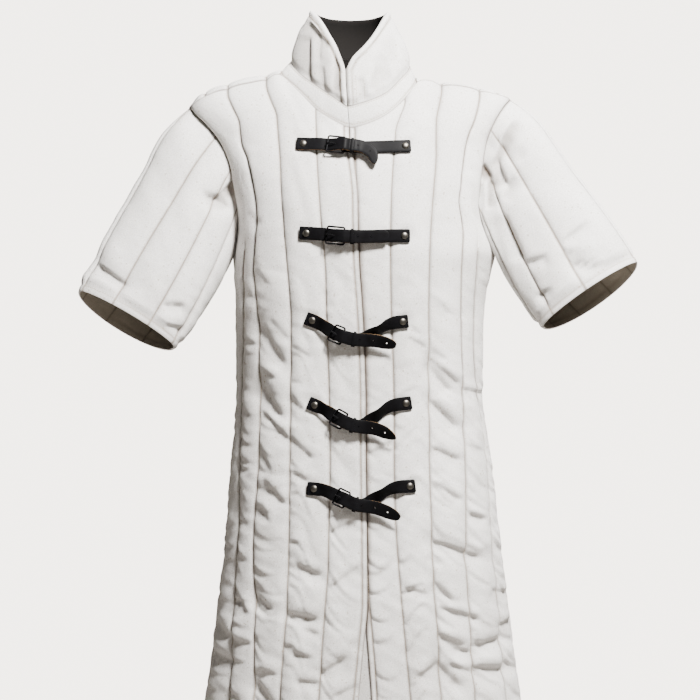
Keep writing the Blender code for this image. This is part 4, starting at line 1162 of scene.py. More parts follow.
def sew(line, facing, length=3.2, pitch=4.6, width=0.75, lift=0.15):
    """Meshes with the stitches along a line of points in millimetres, a batch at a time."""
    steps = np.linalg.norm(np.diff(line, axis=0), axis=1)
    marks = np.concatenate([[0], np.cumsum(steps)])
    starts = np.arange(pitch / 2, marks[-1] - length, pitch)
    for first in range(0, len(starts), BATCH):
        mesh = bmesh.new()
        for start in starts[first : first + BATCH]:
            first_end, last_end = (read_along(line, marks, s) for s in (start, start + length))
            ahead, up = (last_end - first_end) / length, read_along(facing, marks, start)
            side, middle = np.cross(up, ahead), (first_end + last_end) / 2 + up * lift
            for vertex in bmesh.ops.create_cube(mesh, size=1)["verts"]:
                x, y, z = vertex.co
                taper = 1 - 0.5 * (z > 0)
                place = ahead * x * length * (taper * 0.3 + 0.7) + side * y * width * taper + up * z * 0.5
                vertex.co = (middle + place) * MM
        yield stored(mesh, "batch")


def thread_object(name, lines):
    """One object with the stitches of several lines, each (points, facing directions)."""
    mesh = bmesh.new()
    for line, facing in lines:
        for batch in sew(line, facing):
            mesh.from_mesh(batch)
            bpy.data.meshes.remove(batch)
    turn_outwards(mesh)
    return finish_piece(name, stored(mesh, name, (THREAD_COLOUR,)), ())


BORDER = 9.0  # width of a stitched border: collar, cuffs and hem


def contour(values, level, order, outer, ways):
    """Where the values cross a level on a grid: points and outward directions, sorted by their order."""
    found = []
    table = np.concatenate([outer, ways, order[:, :, None]], axis=2)
    for a, b in ((np.s_[:-1], np.s_[1:]), (np.s_[:, :-1], np.s_[:, 1:])):
        crossing = (values[a] < level) != (values[b] < level)
        share = ((level - values[a][crossing]) / (values[b] - values[a])[crossing])[:, None]
        found.append(table[a][crossing] * (1 - share) + table[b][crossing] * share)
    found = np.concatenate(found)
    bins = np.round(found[:, 6] / 4)
    found = np.array([found[bins == at].mean(axis=0) for at in np.unique(bins)])
    return found[:, :3], found[:, 3:6]

# %% [markdown]
# ## Quilted pieces
# A channel is flat-topped with steep sides, because the batting fills it, and it pinches to nothing at each
# row. The wall's outside is the skin plus that padding, less the creases. Where a crease would cut through
# to the lining, it is held back, as the stitched layers hold it on a real coat.

# %% Padding between the rows
CREASE_SHARE = 1.6  # how deep the creases are drawn, against the depths in the table
PUCKER_DEPTH, PUCKER_SPACING = 2.2, (15, 42)
DRAG_HEIGHT, SWELL_HEIGHT = 0.45, 0.7  # of the drag lines and of the uneven places in the padding
EDGE_HOLD, SLEEVE_EDGE_HOLD, SIDE_HOLD = 14, 5, 12  # width of cloth that a seam holds still, at top and side
EDGE_GROOVE = 14.0  # how far the padding takes to rise again beside a hem's or cuff's border
ARMPIT_FLATNESS = 0.65  # share of the padding that is pressed out beside the armpit
STIFF_DROP, SLACK_OVER = 340, 220  # down to here the coat hangs tight, and over this it turns slack
SLEEVE_CREASE_SHARE, SLEEVE_PUCKER_SHARE = 0.4, 0.6  # how much less a sleeve wrinkles
ROW_SHADE_WIDTH, EDGE_SHADE_WIDTH, BORDER_SHADE_WIDTH = 1.55, 1.8, 1.7
THINNEST_DIP = -1.3  # how far the outside may dip under the stitched skin
DARKEST = 0.8  # most painted shade at a row or seam; past it the canvas is painted near black as a shadow
STRAP_FLOOR, STRAP_SLOPE = 5.3, 0.25  # padding left under a strap, and how steeply it rises beside it
RIVET_FLOOR, RIVET_SLOPE = 1.2, 0.32  # the same at a rivet
RIVET_IN, RIVET_REACH = 9, 3  # from the strap's end to where the rivet pulls the padding down, and how wide
LOWER_ROW = 13  # the fronts' row beside the side seam, which is sewn below the armhole only


def columns_of(count, marks, cells):
    """Fractional columns: even across a channel, with a narrow cell on each side of a quilting row."""
    found = []
    for k in range(count):
        cuts = np.linspace(0, 1, cells, endpoint=False)
        if k in marks and k + 1 in marks:
            cuts = (0, 0.25, 0.5, 0.75)
        elif k in marks:
            cuts = np.where(cuts > 0, cuts**1.35, 0)
        elif k + 1 in marks:
            cuts = 1 - (1 - cuts) ** 1.35
        found += [k + cut for cut in cuts]
    return np.array(found + [count])


def rows_of(name):
    """Fractional rows of a quilted piece, cut so that pieces that share a seam share its rows."""
    if name.startswith("sleeve"):
        return steps_of([10 + 22 * (0 < k < 9) for k in range(len(SLEEVE_SHARES) - 1)], CELL_DOWN)
    lower = np.diff((ARMPIT_DROP,) + LOWER_DROPS)
    cell = CELL_DOWN * (1.5 if name == "back" else 1)
    return steps_of([cell * CELLS_AROUND_SLEEVE] * armpit_row + list(lower), cell)


def padding(skin_grid, columns_at, marks):
    """How far the padding stands above the skin at each point."""
    found = np.zeros(skin_grid.shape[:2])
    for first, last in zip(marks, marks[1:]):
        inside = (columns_at >= first) & (columns_at <= last)
        share = (columns_at[inside] - first) / (last - first)
        ends = skin_grid[inside][[0, -1]]
        crown = np.minimum(CROWN_RISE, PUFF_PER_WIDTH * np.linalg.norm(ends[1] - ends[0], axis=1))
        profile = np.clip(1 - np.abs(2 * share - 1) ** 2.4, 0, 1) ** 0.55
        found[inside] = profile[:, None] * crown
    return found


def measured(grid):
    """Distance across and down the cloth at each point, along its own columns and rows."""
    across = np.linalg.norm(np.diff(grid, axis=0), axis=2)
    down = np.linalg.norm(np.diff(grid, axis=1), axis=2)
    across = np.concatenate([np.zeros((1, grid.shape[1])), np.cumsum(across, axis=0)])
    down = np.concatenate([np.zeros((grid.shape[0], 1)), np.cumsum(down, axis=1)], axis=1)
    return across, down


def under_straps(points):
    """The most that the padding may stand up at each point, where a strap lies on it or is riveted down."""
    most = np.full(points.shape[:2], 99.0)
    for tongue_path, buckle_strap_path, *_ in CLOSURES:
        for path in (tongue_path, buckle_strap_path):
            for start, end in zip(path, path[1:]):
                beside = np.clip(away_from(points, start, end) - STRAP_WIDTH / 2, 0, None)
                most = np.minimum(most, STRAP_FLOOR + STRAP_SLOPE * beside)
            inward = np.subtract(path[1], path[0])
            rivet_at = path[0] + RIVET_IN * inward / np.linalg.norm(inward)
            beside = np.clip(np.linalg.norm(points[:, :, ::2] - rivet_at, axis=2) - RIVET_REACH, 0, None)
            most = np.minimum(most, RIVET_FLOOR + RIVET_SLOPE * beside)
    return most


def edged(down, band, groove):
    """For a hem or cuff: how much of the padding is left near the edge, and the band's own low roll."""
    from_edge = down[:, -1:] - down
    left = fade((from_edge - band) / groove)
    roll = 1.7 * np.sin(math.pi * np.clip(from_edge / band, 0, 1)) ** 0.7
    return left, roll


def painted_lap_shadow(points):
    """Painted shadow of the right front's edge on the left front, just beside it, wider and darker lower
    down.
    """
    edge = skins["front_right"][0]
    edge_x = np.interp(-points[:, :, 2], -edge[:, 2], edge[:, 0])
    beside = points[:, :, 0] - edge_x
    strength = 0.8 + 0.2 * fade((-130 - points[:, :, 2]) / 160)
    wide = 3.0 + 2.6 * fade((-200 - points[:, :, 2]) / 120)
    return strength * soft_band(np.clip(beside, 0, None), wide) * (beside > -4)


def quilted(name, marks, creases, seed, held_columns, lean, hidden_creases=0):
    """A quilted piece of the coat and its stitches. held_columns are the columns that a seam holds still."""
    count = skins[name].shape[0] if closed[name] else skins[name].shape[0] - 1
    cells = CELLS_AROUND_SLEEVE if closed[name] else CELLS_ACROSS - 2 * (name == "back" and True)
    columns_at = columns_of(count, marks, cells)
    if closed[name]:
        columns_at = columns_at[:-1]
    rows_at = rows_of(name)
    grid = fine(skins[name], columns_at, rows_at, closed[name])
    ways = fine(directions[name], columns_at, rows_at, closed[name])
    ways /= np.linalg.norm(ways, axis=2, keepdims=True)
    whole = np.concatenate([grid, grid[:1]]) if closed[name] else grid
    whole_at = np.append(columns_at, count) if closed[name] else columns_at
    across, down = measured(whole)
    rise = padding(whole, whole_at, marks)
    merged = np.zeros(len(rows_at))
    if name.startswith("front"):
        merged = fade((armpit_row - rows_at) / 2)
        rise += merged * (padding(whole, whole_at, [mark for mark in marks if mark != LOWER_ROW]) - rise)
    lines = [int(np.argmin(np.abs(whole_at - mark))) for mark in marks]

    # What a seam holds still: the upper edge, the side seams and the armhole.
    still = fade(down / (SLEEVE_EDGE_HOLD if closed[name] else EDGE_HOLD))
    for edge in held_columns:
        still = still * fade(np.abs(across - across[edge]) / SIDE_HOLD)
    left, roll = edged(down, BORDER, EDGE_GROOVE)
    if closed[name]:
        rise *= fade(rows_at / (len(SLEEVE_SHARES) - 1) / 0.25)
    else:
        side = fade((whole_at - marks[-2]) / 0.5)[:, None] * fade(1 - np.abs(rows_at - 10.5) / 3)[None]
        rise *= 1 - ARMPIT_FLATNESS * side
    height = rise * left * (1 - 0.12 * (rows_at == 0)) + roll * (rows_at > 1)
    height += still * left * drag_lines(across, down, lines, seed, DRAG_HEIGHT)
    height += still * left * swells(across, down, seed + 1, SWELL_HEIGHT) * np.clip(rise / CROWN_RISE, 0, 1)
    height += still * left * wrinkles(whole)
    folds = creased(whole, creases)
    slack = 0.45 + 0.55 * fade((-STIFF_DROP - whole[:, :, 2]) / SLACK_OVER)
    dips = folds * (SLEEVE_CREASE_SHARE if closed[name] else slack * np.clip(0.35 + rise / CROWN_RISE, 0, 1))
    deepest = PUCKER_DEPTH * (SLEEVE_PUCKER_SHARE if closed[name] else 1)
    dips += puckers(across, down, lines, seed + 3, lean, PUCKER_SPACING, deepest)
    if hidden_creases:
        dips += chance_creases(across, down, hidden_creases, seed + 2)
    height -= CREASE_SHARE * still * left * dips
    if name.startswith("front"):
        most = under_straps(whole)
        height = np.where(height > most - 1, most - 1 + np.tanh(height - most + 1), height)
    low = height < THINNEST_DIP
    height[low] = THINNEST_DIP + 0.15 * (height[low] - THINNEST_DIP)

    depth = fold_depth(whole, FOLDS.get(name) or FOLDS[name.split("_")[0]])
    if closed[name]:
        depth += 1.5 * np.clip(folds, 0, None) * left
    depth *= still

    if closed[name]:
        across, down, height, depth, folds = across[:-1], down[:-1], height[:-1], depth[:-1], folds[:-1]
    ends = ("top",) if closed[name] else ("top", "last") if name != "back" else ("top", "first", "last")
    drawn = parted(grid, closed[name], ends) - depth[:, :, None] * ways
    inner, outer = drawn - PRESSED_WALL * ways, drawn + height[:, :, None] * ways

    # Painted shade: the canvas is darkened along the quilting rows, beside the hem's and cuffs' border, in
    # the creases, along the seams at the top edge, and in the sleeves' folds near the armhole.
    near_row = np.full(across.shape, 99.0)
    for mark, line in zip(marks, lines):
        hidden = 99 * merged * (mark == LOWER_ROW)
        near_row = np.minimum(near_row, np.abs(across - across[line % len(across)]) + hidden)
    shade = 0.9 * soft_band(near_row, ROW_SHADE_WIDTH) + 0.1 * np.exp(-near_row / 5)
    shade = np.maximum(shade, 0.5 * soft_band(down[:, -1:] - down - BORDER, BORDER_SHADE_WIDTH))
    dips = dips[: len(shade)]
    shade += 0.07 * np.clip(dips / 2.5, 0, 1) * still[: len(shade)]
    if closed[name]:
        shade += 0.75 * np.clip(folds / 3, 0, 1) ** 1.5 * np.exp(-down / 55)
    shade = np.maximum(shade, 0.75 * soft_band(down, EDGE_SHADE_WIDTH))
    shade = np.clip(shade, 0, DARKEST)
    # Painted shadow of the upper front's edge on the lower front.
    if name == "front_left":
        shade = np.maximum(shade, painted_lap_shadow(grid))
    piece = canvas_piece(name, inner, outer, closed[name], (across, down), shade)
    sewn = [line % len(outer) for line in lines[: None if not closed[name] else -1]]
    sewn = [line for line in sewn if closed[name] or 0 < line < len(outer) - 1]
    keep = rows_at > 0.3
    below = keep & (merged < 0.5)
    lower = lines[marks.index(LOWER_ROW)] if name.startswith("front") else -1
    rows = []
    for line in sewn:
        seen = below if line == lower else keep
        rows.append((outer[line][seen], ways[line][seen]))
    rows.append(contour(down[:, -1:] - down, BORDER, across, outer, ways))
    stitches = thread_object(f"{name}_quilting_thread", rows)
    print(f"{piece.name}: {len(piece.data.polygons)} faces, {len(stitches.data.polygons) // 6} stitches")
    return piece, stitches


# %% [markdown]
# ## Fronts, back and sleeves
# The fronts have their creases listed one by one. The back and the sides aren't seen from the front, so they
# get the same kind of crease at seeded places.

# %% Making the five quilted pieces
FRONT_MARKS = [0, 1, 4, 7, 10, 13, 16]
BACK_MARKS = [0, 3, 6, 9, 13, 15, 17, 22, 25, 28, 31]
SLEEVE_MARKS = list(range(0, 25, 3))
made = {}
for seed, name in enumerate(("front_right", "front_left")):
    made[name] = quilted(name, FRONT_MARKS, BODY_CREASES, 11 + 10 * seed, [-1], 2 * seed - 1)
made["back"] = quilted("back", BACK_MARKS, (), 41, [0, -1], 1, hidden_creases=60)
for seed, side in enumerate(("right", "left")):
    creases = SLEEVE_CREASES[side]
    made[f"sleeve_{side}"] = quilted(f"sleeve_{side}", SLEEVE_MARKS, creases, 61 + 10 * seed, [], 1)

# %% [markdown]
# ## Stand collar and its band
# The collar stands edge to edge. Its border is a strip about 9 mm wide, stitched down all round, and it
# looks rounder and brighter than the rest. The collar itself is padded but not quilted, so it buckles into
# a few folds from the rim to the foot, deeper on the wearer's right. The strip at its foot is a separate
# flat band with a row of topstitching near each edge. Both are laid out from their tables like the panels.

# %% Borders and stitch lines on them
DRESSED_GAP = 0.1  # light would show through a wider seam at the back of the neck
COLLAR_CREASES = (
    (-68, 70, -66, -20, 3.2, 6),
    (-52, 74, -50, 20, 1.4, 6),
    (-70, 88, -34, 44, 3.0, 6),
    (-24, 46, -28, -34, 2.8, 6),
    (-46, 14, -42, -26, 1.6, 5),
    (-66, -10, -56, -22, 2.2, 5),
    (40, 12, 30, -24, 1.8, 8),
    (66, 58, 70, 22, 1.6, 9),
    (52, 30, 60, -10, 1.2, 8),
    (16, -4, 22, -42, 2.4, 4),
)


def border_of(grid, edges):
    """How far each point lies from the named edges of the cloth, and where along them it is nearest."""
    lines = {"first": grid[0], "rim": grid[:, -1], "last": grid[-1][::-1]}
    edge = np.concatenate([lines[name] for name in edges])
    along = np.concatenate([[0], np.cumsum(np.linalg.norm(np.diff(edge, axis=0), axis=1))])
    away = np.linalg.norm(grid[:, :, None] - edge[None, None], axis=3)
    return away.min(axis=2), along[away.argmin(axis=2)]


# %% Collar
def laid_out(name, across_cell, row_lengths, down_cell, rim_rows=()):
    """A skin cut fine, with its directions and sizes. rim_rows are extra rows near its last edge."""
    widths = np.linalg.norm(np.diff(skins[name][:, 1], axis=0), axis=1)
    columns_at = steps_of(widths, across_cell)
    rows_at = np.unique(np.concatenate([steps_of(row_lengths, down_cell), rim_rows]))
    grid = fine(skins[name], columns_at, rows_at, False)
    ways = fine(directions[name], columns_at, rows_at, False)
    ways /= np.linalg.norm(ways, axis=2, keepdims=True)
    return grid, ways, *measured(grid)


PIECE_CELL = 3.6
grid, ways, across, down = laid_out("collar", PIECE_CELL, (30, 35, 35), PIECE_CELL, (2.93, 2.97))
from_edge, along_edge = border_of(grid, ("first", "rim", "last"))
height = (COLLAR_WALL - PRESSED_WALL) * fade(down / 12)
height += 1.5 * np.sin(math.pi * np.clip(from_edge / BORDER, 0, 1)) - 1.6 * soft_band(from_edge - BORDER, 1.6)
in_front = fade((14 - grid[:, :, 1]) / 24)
inside_border = fade((from_edge - BORDER + 3) / 6) * fade(down / 9)
creases = creased(grid, COLLAR_CREASES) * in_front
creases += chance_creases(across, down, 16, 97) * (1 - in_front)
height -= 1.5 * creases * inside_border
height += 0.35 * swells(across, down, 91, 0.8) * inside_border
round_off = np.exp(-from_edge / 1.3)
drawn = parted(grid, False, ("top",), DRESSED_GAP)
outer = drawn + (height - 2.6 * round_off)[:, :, None] * ways
inner = drawn - (PRESSED_WALL - 1.6 * round_off)[:, :, None] * ways
# Painted shade: darker in the groove inside the border and in the creases, and over the collar's front on the
# wearer's right, which faces away from the key light.
shade = 0.6 * soft_band(from_edge - BORDER, 1.8) + 0.2 * np.clip(creases / 2, 0, 1)
shade += 0.24 * inside_border * in_front * fade(-grid[:, :, 0] / 12)
collar_piece = canvas_piece("collar", inner, outer, False, (across, down), shade, (SHELL, COLLAR_LINING_PAINTED_DARK))
rows = [contour(from_edge, BORDER, along_edge, outer, ways)]
for top, bottom in (((16, -6), (22, -42)), ((4, 0), (8.5, -46))):
    marks = [np.array(top) + (np.array(bottom) - top) * share for share in np.linspace(0, 1, 12)]
    behind = 999 * (grid[:, :, 1] > -20)
    nearest = [np.argmin(np.linalg.norm(grid[:, :, ::2] - mark, axis=2) + behind) for mark in marks]
    rows.append((outer.reshape(-1, 3)[nearest], ways.reshape(-1, 3)[nearest]))
made["collar"] = (collar_piece, thread_object("collar_topstitching", rows))
print(f"collar: {len(collar_piece.data.polygons)} faces")

# %% Collar band
grid, ways, across, down = laid_out("collar_band", PIECE_CELL, (13, 13), 2.2)
width = down[:, -1:]
share = np.clip(down / width, 0, 1)
height = BAND_CROWN * np.sin(math.pi * share) ** 0.6
stitch_rows = (5.0, 4.0)  # from the band's lower and upper edge
for from_row, inset in ((down, stitch_rows[0]), (width - down, stitch_rows[1])):
    height -= 0.9 * soft_band(from_row - inset, 1.3)
height += 0.25 * drag_lines(down, across, [0], 93, 0.8) * np.sin(math.pi * share)
drawn = parted(grid, False, ("top", "bottom"), DRESSED_GAP)
outer, inner = drawn + height[:, :, None] * ways, drawn - PRESSED_WALL * ways
# Painted shade: the canvas is darkened along the lower stitch row and along both seams.
shade = 0.5 * soft_band(down - stitch_rows[0], 1.5) + 0.7 * soft_band(down, EDGE_SHADE_WIDTH)
shade += 0.8 * soft_band(width - down, 2.0)
shade = np.clip(shade, 0, DARKEST)
band_piece = canvas_piece("collar_band", inner, outer, False, (across, down), shade, (SHELL, COLLAR_LINING_PAINTED_DARK))
rows = [contour(down, stitch_rows[0], across, outer, ways)]
rows.append(contour(width - down, stitch_rows[1], across, outer, ways))
made["collar_band"] = (band_piece, thread_object("collar_band_topstitching", rows))
print(f"band: {len(band_piece.data.polygons)} faces, {width.min():.0f} to {width.max():.0f} mm wide")

# %% [markdown]
# ## Strip behind the opening
# Low down the fronts part, and a plain strip shows between them. It is one layer of canvas, folded and
# stitched together at its edges, so it is thin and has no padding.

# %% Underlap
UNDERLAP_TOP = 690.0
UNDERLAP_MIDDLE_DROP = 850  # where the strip is lined up with the upper front's edge
UNDERLAP_ACROSS = (-14, 4, 22, 40)  # from the upper front's edge towards the lower front
UNDERLAP_DEPTH = 4.0  # behind the stitched skin
UNDERLAP_WALL = 2.4

drops = [drop for drop in LOWER_DROPS if drop > UNDERLAP_TOP]
start_x = column(RIGHT_LINES, LINES_COLUMNS, "edge", UNDERLAP_MIDDLE_DROP)
places = [[(start_x + across_at, -drop) for drop in drops] for across_at in UNDERLAP_ACROSS]
skins["front_underlap"] = np.array([[on_front(x, z) for x, z in line] for line in places])
directions["front_underlap"] = np.array([[front_normal(x, z) for x, z in line] for line in places])
lengths = -np.diff([z for _, z in places[0]])
grid, ways, across, down = laid_out("front_underlap", PIECE_CELL, lengths, 2 * PIECE_CELL)
depth = fold_depth(grid, FOLDS["front"])
outer = grid - (depth + UNDERLAP_DEPTH)[:, :, None] * ways
inner = outer - UNDERLAP_WALL * ways
# Painted shade: the whole strip is darkened a little, because it lies back between the fronts in their shade.
shade = np.full(across.shape, 0.25)
underlap_piece = canvas_piece("front_underlap", inner, outer, False, (across, down), shade, (SHELL, SHELL))
made["front_underlap"] = (underlap_piece, None)
print(f"underlap: {len(underlap_piece.data.polygons)} faces")

# %% [markdown]
# ## Leather, steel and nickel
# The straps are black-dyed leather: a fine pebbled grain that scatters a soft sheen, and a tan raw edge
# where the knife cut through the dye. Buckle frames are blackened steel, unevenly polished. The rivets'
# domes are nickel-plated and a little dulled.

# %% Hard materials
GRAIN = 0.7  # size of the leather's pebbles


def leather(name, code, worn_code, roughness):
    """Dyed leather with a pebbled grain and a little wear in large patches."""
    material = new_material(name, code, roughness)
    material.node_tree.nodes["Principled BSDF"].inputs["Specular IOR Level"].default_value = 0.03
    place = add_node(material, "ShaderNodeTexCoord").outputs["Object"]
    grain = add_node(material, "ShaderNodeTexVoronoi", {"Scale": 1 / (GRAIN * MM)}, Vector=place)
    bumped(material, grain.outputs["Distance"], 0.5, 0.12)
    feed(material, "Base Color", blended(material, noise_at(material, place, 90.0, 5.0), code, worn_code))
    return material


def metal(name, code, roughness, uneven):
    """Metal with slightly uneven polish."""
    material = new_material(name, code, roughness, 1.0)
    patches = noise_at(material, add_node(material, "ShaderNodeTexCoord").outputs["Object"], 300.0, 3.0)
    feed(material, "Roughness", spread(material, patches, 0.0, 1.0, roughness, roughness + uneven))
    return material


LEATHER = leather("strap leather, dyed black", "#060505", "#101012", 0.45)
RAW_EDGE = leather("cut edge of the leather, tan", "#8f7351", "#6b5238", 0.7)
STEEL = metal("blackened steel wire", "#121213", 0.38, 0.2)
NICKEL = metal("nickel-plated rivet, dulled", "#57544f", 0.3, 0.2)

# %% [markdown]
# ## A skin over a row of outlines
# A strap, a wire and a rivet's dome are all the same thing to make: one closed outline carried along a
# line. A bevelled curve could carry an outline too, but it turns it freely, and a strap has to stay flat on
# the coat.

# %% Lofting
def lofted(name, rings, materials, looped=False, edge_faces=()):
    """A closed skin over outlines in millimetres. edge_faces are the sides that get the second material."""
    count, around = rings.shape[:2]
    cells = count if looped else count - 1
    mesh = bmesh.new()
    bmesh.ops.create_grid(mesh, x_segments=cells, y_segments=around, size=1)
    for face in mesh.faces:
        side = round((face.calc_center_median().y + 1) / 2 * around - 0.5)
        face.material_index = int(side in edge_faces)
    for vertex in mesh.verts:
        along, turn = round((vertex.co.x + 1) / 2 * cells), round((vertex.co.y + 1) / 2 * around)
        vertex.co = rings[along % count, turn % around] * MM
    bmesh.ops.remove_doubles(mesh, verts=mesh.verts, dist=1e-7)
    bmesh.ops.holes_fill(mesh, edges=[edge for edge in mesh.edges if edge.is_boundary])
    turn_outwards(mesh)
    return stored(mesh, name, materials, sharp_from=40)


def wire_rings(points, radius, looped=False, around=10):
    """Round outlines along a wire, with no twist, because every wire here lies nearly flat on the coat."""
    if looped:
        ahead = np.roll(points, -1, axis=0) - np.roll(points, 1, axis=0)
    else:
        ahead = np.gradient(points, axis=0)
    ahead /= np.linalg.norm(ahead, axis=1, keepdims=True)
    out = np.array((0.02, -1, 0.1))
    side = np.cross(ahead, out)
    side /= np.linalg.norm(side, axis=1, keepdims=True)
    up = np.cross(side, ahead)
    turns = np.linspace(0, 2 * math.pi, around, endpoint=False)
    ring = side[:, None] * np.cos(turns)[:, None] + up[:, None] * np.sin(turns)[:, None]
    return points[:, None] + ring * np.broadcast_to(radius, len(points))[:, None, None]


# %% [markdown]
# ## Where a strap runs
# A strap follows a line drawn on the front of the coat, at a height above the stitched skin. Its layers are
# stacked as they are on a buckled strap: the tongue goes under the far bar, over the heel bar and into the
# keeper.

# %% A line on the coat
class Route:
    """A smooth line on the front of the coat, through places given as x and height."""

    def __init__(self, places):
        self.places = np.array(places, float)
        steps = np.linalg.norm(np.diff(self.places, axis=0), axis=1)
        self.marks = np.concatenate([[0], np.cumsum(steps)])
        self.length = self.marks[-1]

    def on_curve(self, s):
        return np.array([curve(self.marks, self.places[:, k], s) for k in (0, 1)])

    def heading(self, s):
        s = np.clip(s, 1, self.length - 1)
        step = self.on_curve(s + 1) - self.on_curve(s - 1)
        return step / np.linalg.norm(step)

    def at(self, s):
        """The place at s along the route. Past its ends it runs straight on."""
        inside = np.clip(s, 0, self.length)
        return self.on_curve(inside) + self.heading(inside) * (s - inside)

    def place(self, s, across, height):
        """The point at s along the route, across it, and at a height above the stitched skin."""
        x, z = self.at(s)
        ahead = self.heading(s)
        facing = front_normal(x, z)
        side = np.array((-ahead[1], 0, ahead[0]))
        side = side - facing * side.dot(facing)
        return on_front(x, z) + side / np.linalg.norm(side) * across + facing * height


# %% Directions on the line
@lru_cache(maxsize=None)
def axes(route, s):
    """The route's place on the coat at s, with its sideways and outward directions there."""
    base = route.place(s, 0, 0)
    return base, route.place(s, 1, 0) - base, route.place(s, 0, 1) - base


def spot(route, s, across, height):
    base, side, facing = axes(route, float(s))
    return base + side * across + facing * height


def frame_at(route, s, height):
    """The middle of the route at s and a height, the way up from the coat, and two ways square to that."""
    middle = spot(route, s, 0, height)
    up = spot(route, s, 0, height + 1) - middle
    first = np.cross(up, (0, 0, 1))
    first /= np.linalg.norm(first)
    return middle, up, first, np.cross(up, first)


# %% Straps with rounded edges
# Outline of a strap.
# Columns: share of its half width, millimetres back from the edge, share of its half thickness.
TOP_OUTLINE = ((1, 0, -0.35), (1, 0, 0.35), (1, 0.35, 0.8), (1, 1.1, 1), (0.5, 0, 1.06), (0, 0, 1.1))
SMOOTH_STEP = 2.0
CORNER_RADIUS = 1.8  # of a strap's riveted end


def strap_outline(half_width, thickness):
    """(across, up) round the strap, counting from its lower edge on one side."""
    right = [(max(0.0, share * half_width - back), up * thickness / 2) for share, back, up in TOP_OUTLINE]
    top = right + [(-across, up) for across, up in right[-2::-1]]
    under = [(-max(0.0, half_width - 0.9), -thickness / 2), (max(0.0, half_width - 0.9), -thickness / 2)]
    return top + under


def strap_data(name, route, profile, widths, turned, raw_edges=False):
    """A strap along a profile of (s, height), with a half width at each place.

    turned: places (s, degrees) where its upper edge stands forward and its lower edge stays down."""
    profile = np.array(profile, float)
    marks = np.concatenate([[0], np.cumsum(np.linalg.norm(np.diff(profile, axis=0), axis=1))])
    near_end = marks[-1] - np.array((0, 0.4, 1.2, 3.0))
    at = np.unique(np.concatenate([np.arange(0, marks[-1], SMOOTH_STEP), (0.5, 1.5), near_end]))
    s, h = curve(marks, profile[:, 0], at), curve(marks, profile[:, 1], at)
    half = np.interp(at, marks, widths)
    from_corner = 1 - np.clip(at / CORNER_RADIUS, 0, 1)
    half = half - CORNER_RADIUS * (1 - np.sqrt(np.clip(1 - from_corner**2, 0, 1)))
    ahead = np.stack([np.gradient(s, at), np.gradient(h, at)], axis=1)
    ahead /= np.linalg.norm(ahead, axis=1, keepdims=True)
    ends = np.minimum(at, marks[-1] - at)
    thick = STRAP_THICKNESS * (0.72 + 0.28 * np.clip(ends / 1.2, 0, 1))
    turn = np.radians(np.interp(s, *zip(*turned)))
    if len(at) > 8:
        turn = np.convolve(np.pad(turn, 3, mode="edge"), np.ones(7) / 7, mode="valid")
    rings = []
    for k in range(len(at)):
        ring = []
        upper = math.copysign(1, axes(route, float(s[k]))[1][2])
        for across, up in strap_outline(half[k], thick[k]):
            wide = across * upper
            high = up * math.cos(turn[k]) + (wide + half[k]) * math.sin(turn[k])
            wide = wide * math.cos(turn[k]) - up * math.sin(turn[k])
            ring.append(spot(route, s[k] - high * ahead[k, 1], wide * upper, h[k] + high * ahead[k, 0]))
        rings.append(ring)
    edges = (0, len(rings[0]) - 4) if raw_edges else ()
    return lofted(name, np.array(rings), (LEATHER, RAW_EDGE), edge_faces=edges)


print(f"outline of a strap has {len(strap_outline(10, 2))} corners")

# %% [markdown]
# ## Punched holes
# The tongue has a row of round holes, punched after dyeing. Each is cut right through with a Boolean, since
# a painted dot would stay flat when the strap is seen from the side.

# %% Cutting holes
HOLE_RADIUS, HOLE_PITCH = 1.15, 21.0


def punched(data, route, places, height):
    """The strap's mesh with round holes cut through at places along the route."""
    mesh = bmesh.new()
    for s in places:
        middle, up, first, second = frame_at(route, s, height)
        sizes = {"radius1": HOLE_RADIUS, "radius2": HOLE_RADIUS, "depth": 16}
        for vertex in bmesh.ops.create_cone(mesh, cap_ends=True, segments=12, **sizes)["verts"]:
            x, y, z = vertex.co
            vertex.co = (middle + first * x + second * y + up * z) * MM
    turn_outwards(mesh)
    punch = bpy.data.objects.new("punch", stored(mesh, "punch"))
    strap = bpy.data.objects.new("strap", data)
    for thing in (punch, strap):
        bpy.context.scene.collection.objects.link(thing)
    cut = strap.modifiers.new("holes", "BOOLEAN")
    cut.object, cut.operation, cut.solver = punch, "DIFFERENCE", "EXACT"
    done = bpy.data.meshes.new_from_object(strap.evaluated_get(bpy.context.evaluated_depsgraph_get()))
    for thing in (punch, strap):
        bpy.data.objects.remove(thing)
    done.name = data.name
    return done


# %% [markdown]
# ## Five closures
# The heights of the layers come from the thickness of the leather and the wire, as on the solids.

# %% Building them
# The heights of a closure's layers above the stitched skin, from the cloth up.
LAYER = STRAP_THICKNESS + GAP
TURN = WIRE / 2 + GAP + STRAP_THICKNESS / 2 + 0.1  # radius of the buckle strap's loop round the heel bar
BAR = UNDER_KEEPER + TURN  # middle of the buckle's bars
OVER_BAR = BAR + TURN + LAYER + SPARE  # the tongue on top of that loop
ON_RETURN = UNDER_KEEPER + 2 * LAYER + SPARE  # the tongue inside the keeper


def buckle_strap_profile(heel, gap):
    """(s, height) along the buckle strap: from its rivet to the buckle, round the heel bar and back."""
    keeper = heel - gap
    before = [(0, ON_CLOTH), (14, ON_CLOTH), (keeper - 24, ON_CLOTH + 1)]
    inside = [(keeper - 8, UNDER_KEEPER), (keeper + 4, UNDER_KEEPER)]
    loop = [(heel + TURN * math.sin(a), BAR - TURN * math.cos(a)) for a in np.radians(range(0, 181, 30))]
    settled = UNDER_KEEPER + LAYER
    back = [(heel - 4, BAR + TURN - 1.4), (keeper + 4, settled), (keeper - 6, settled)]
    return before + inside + loop + back


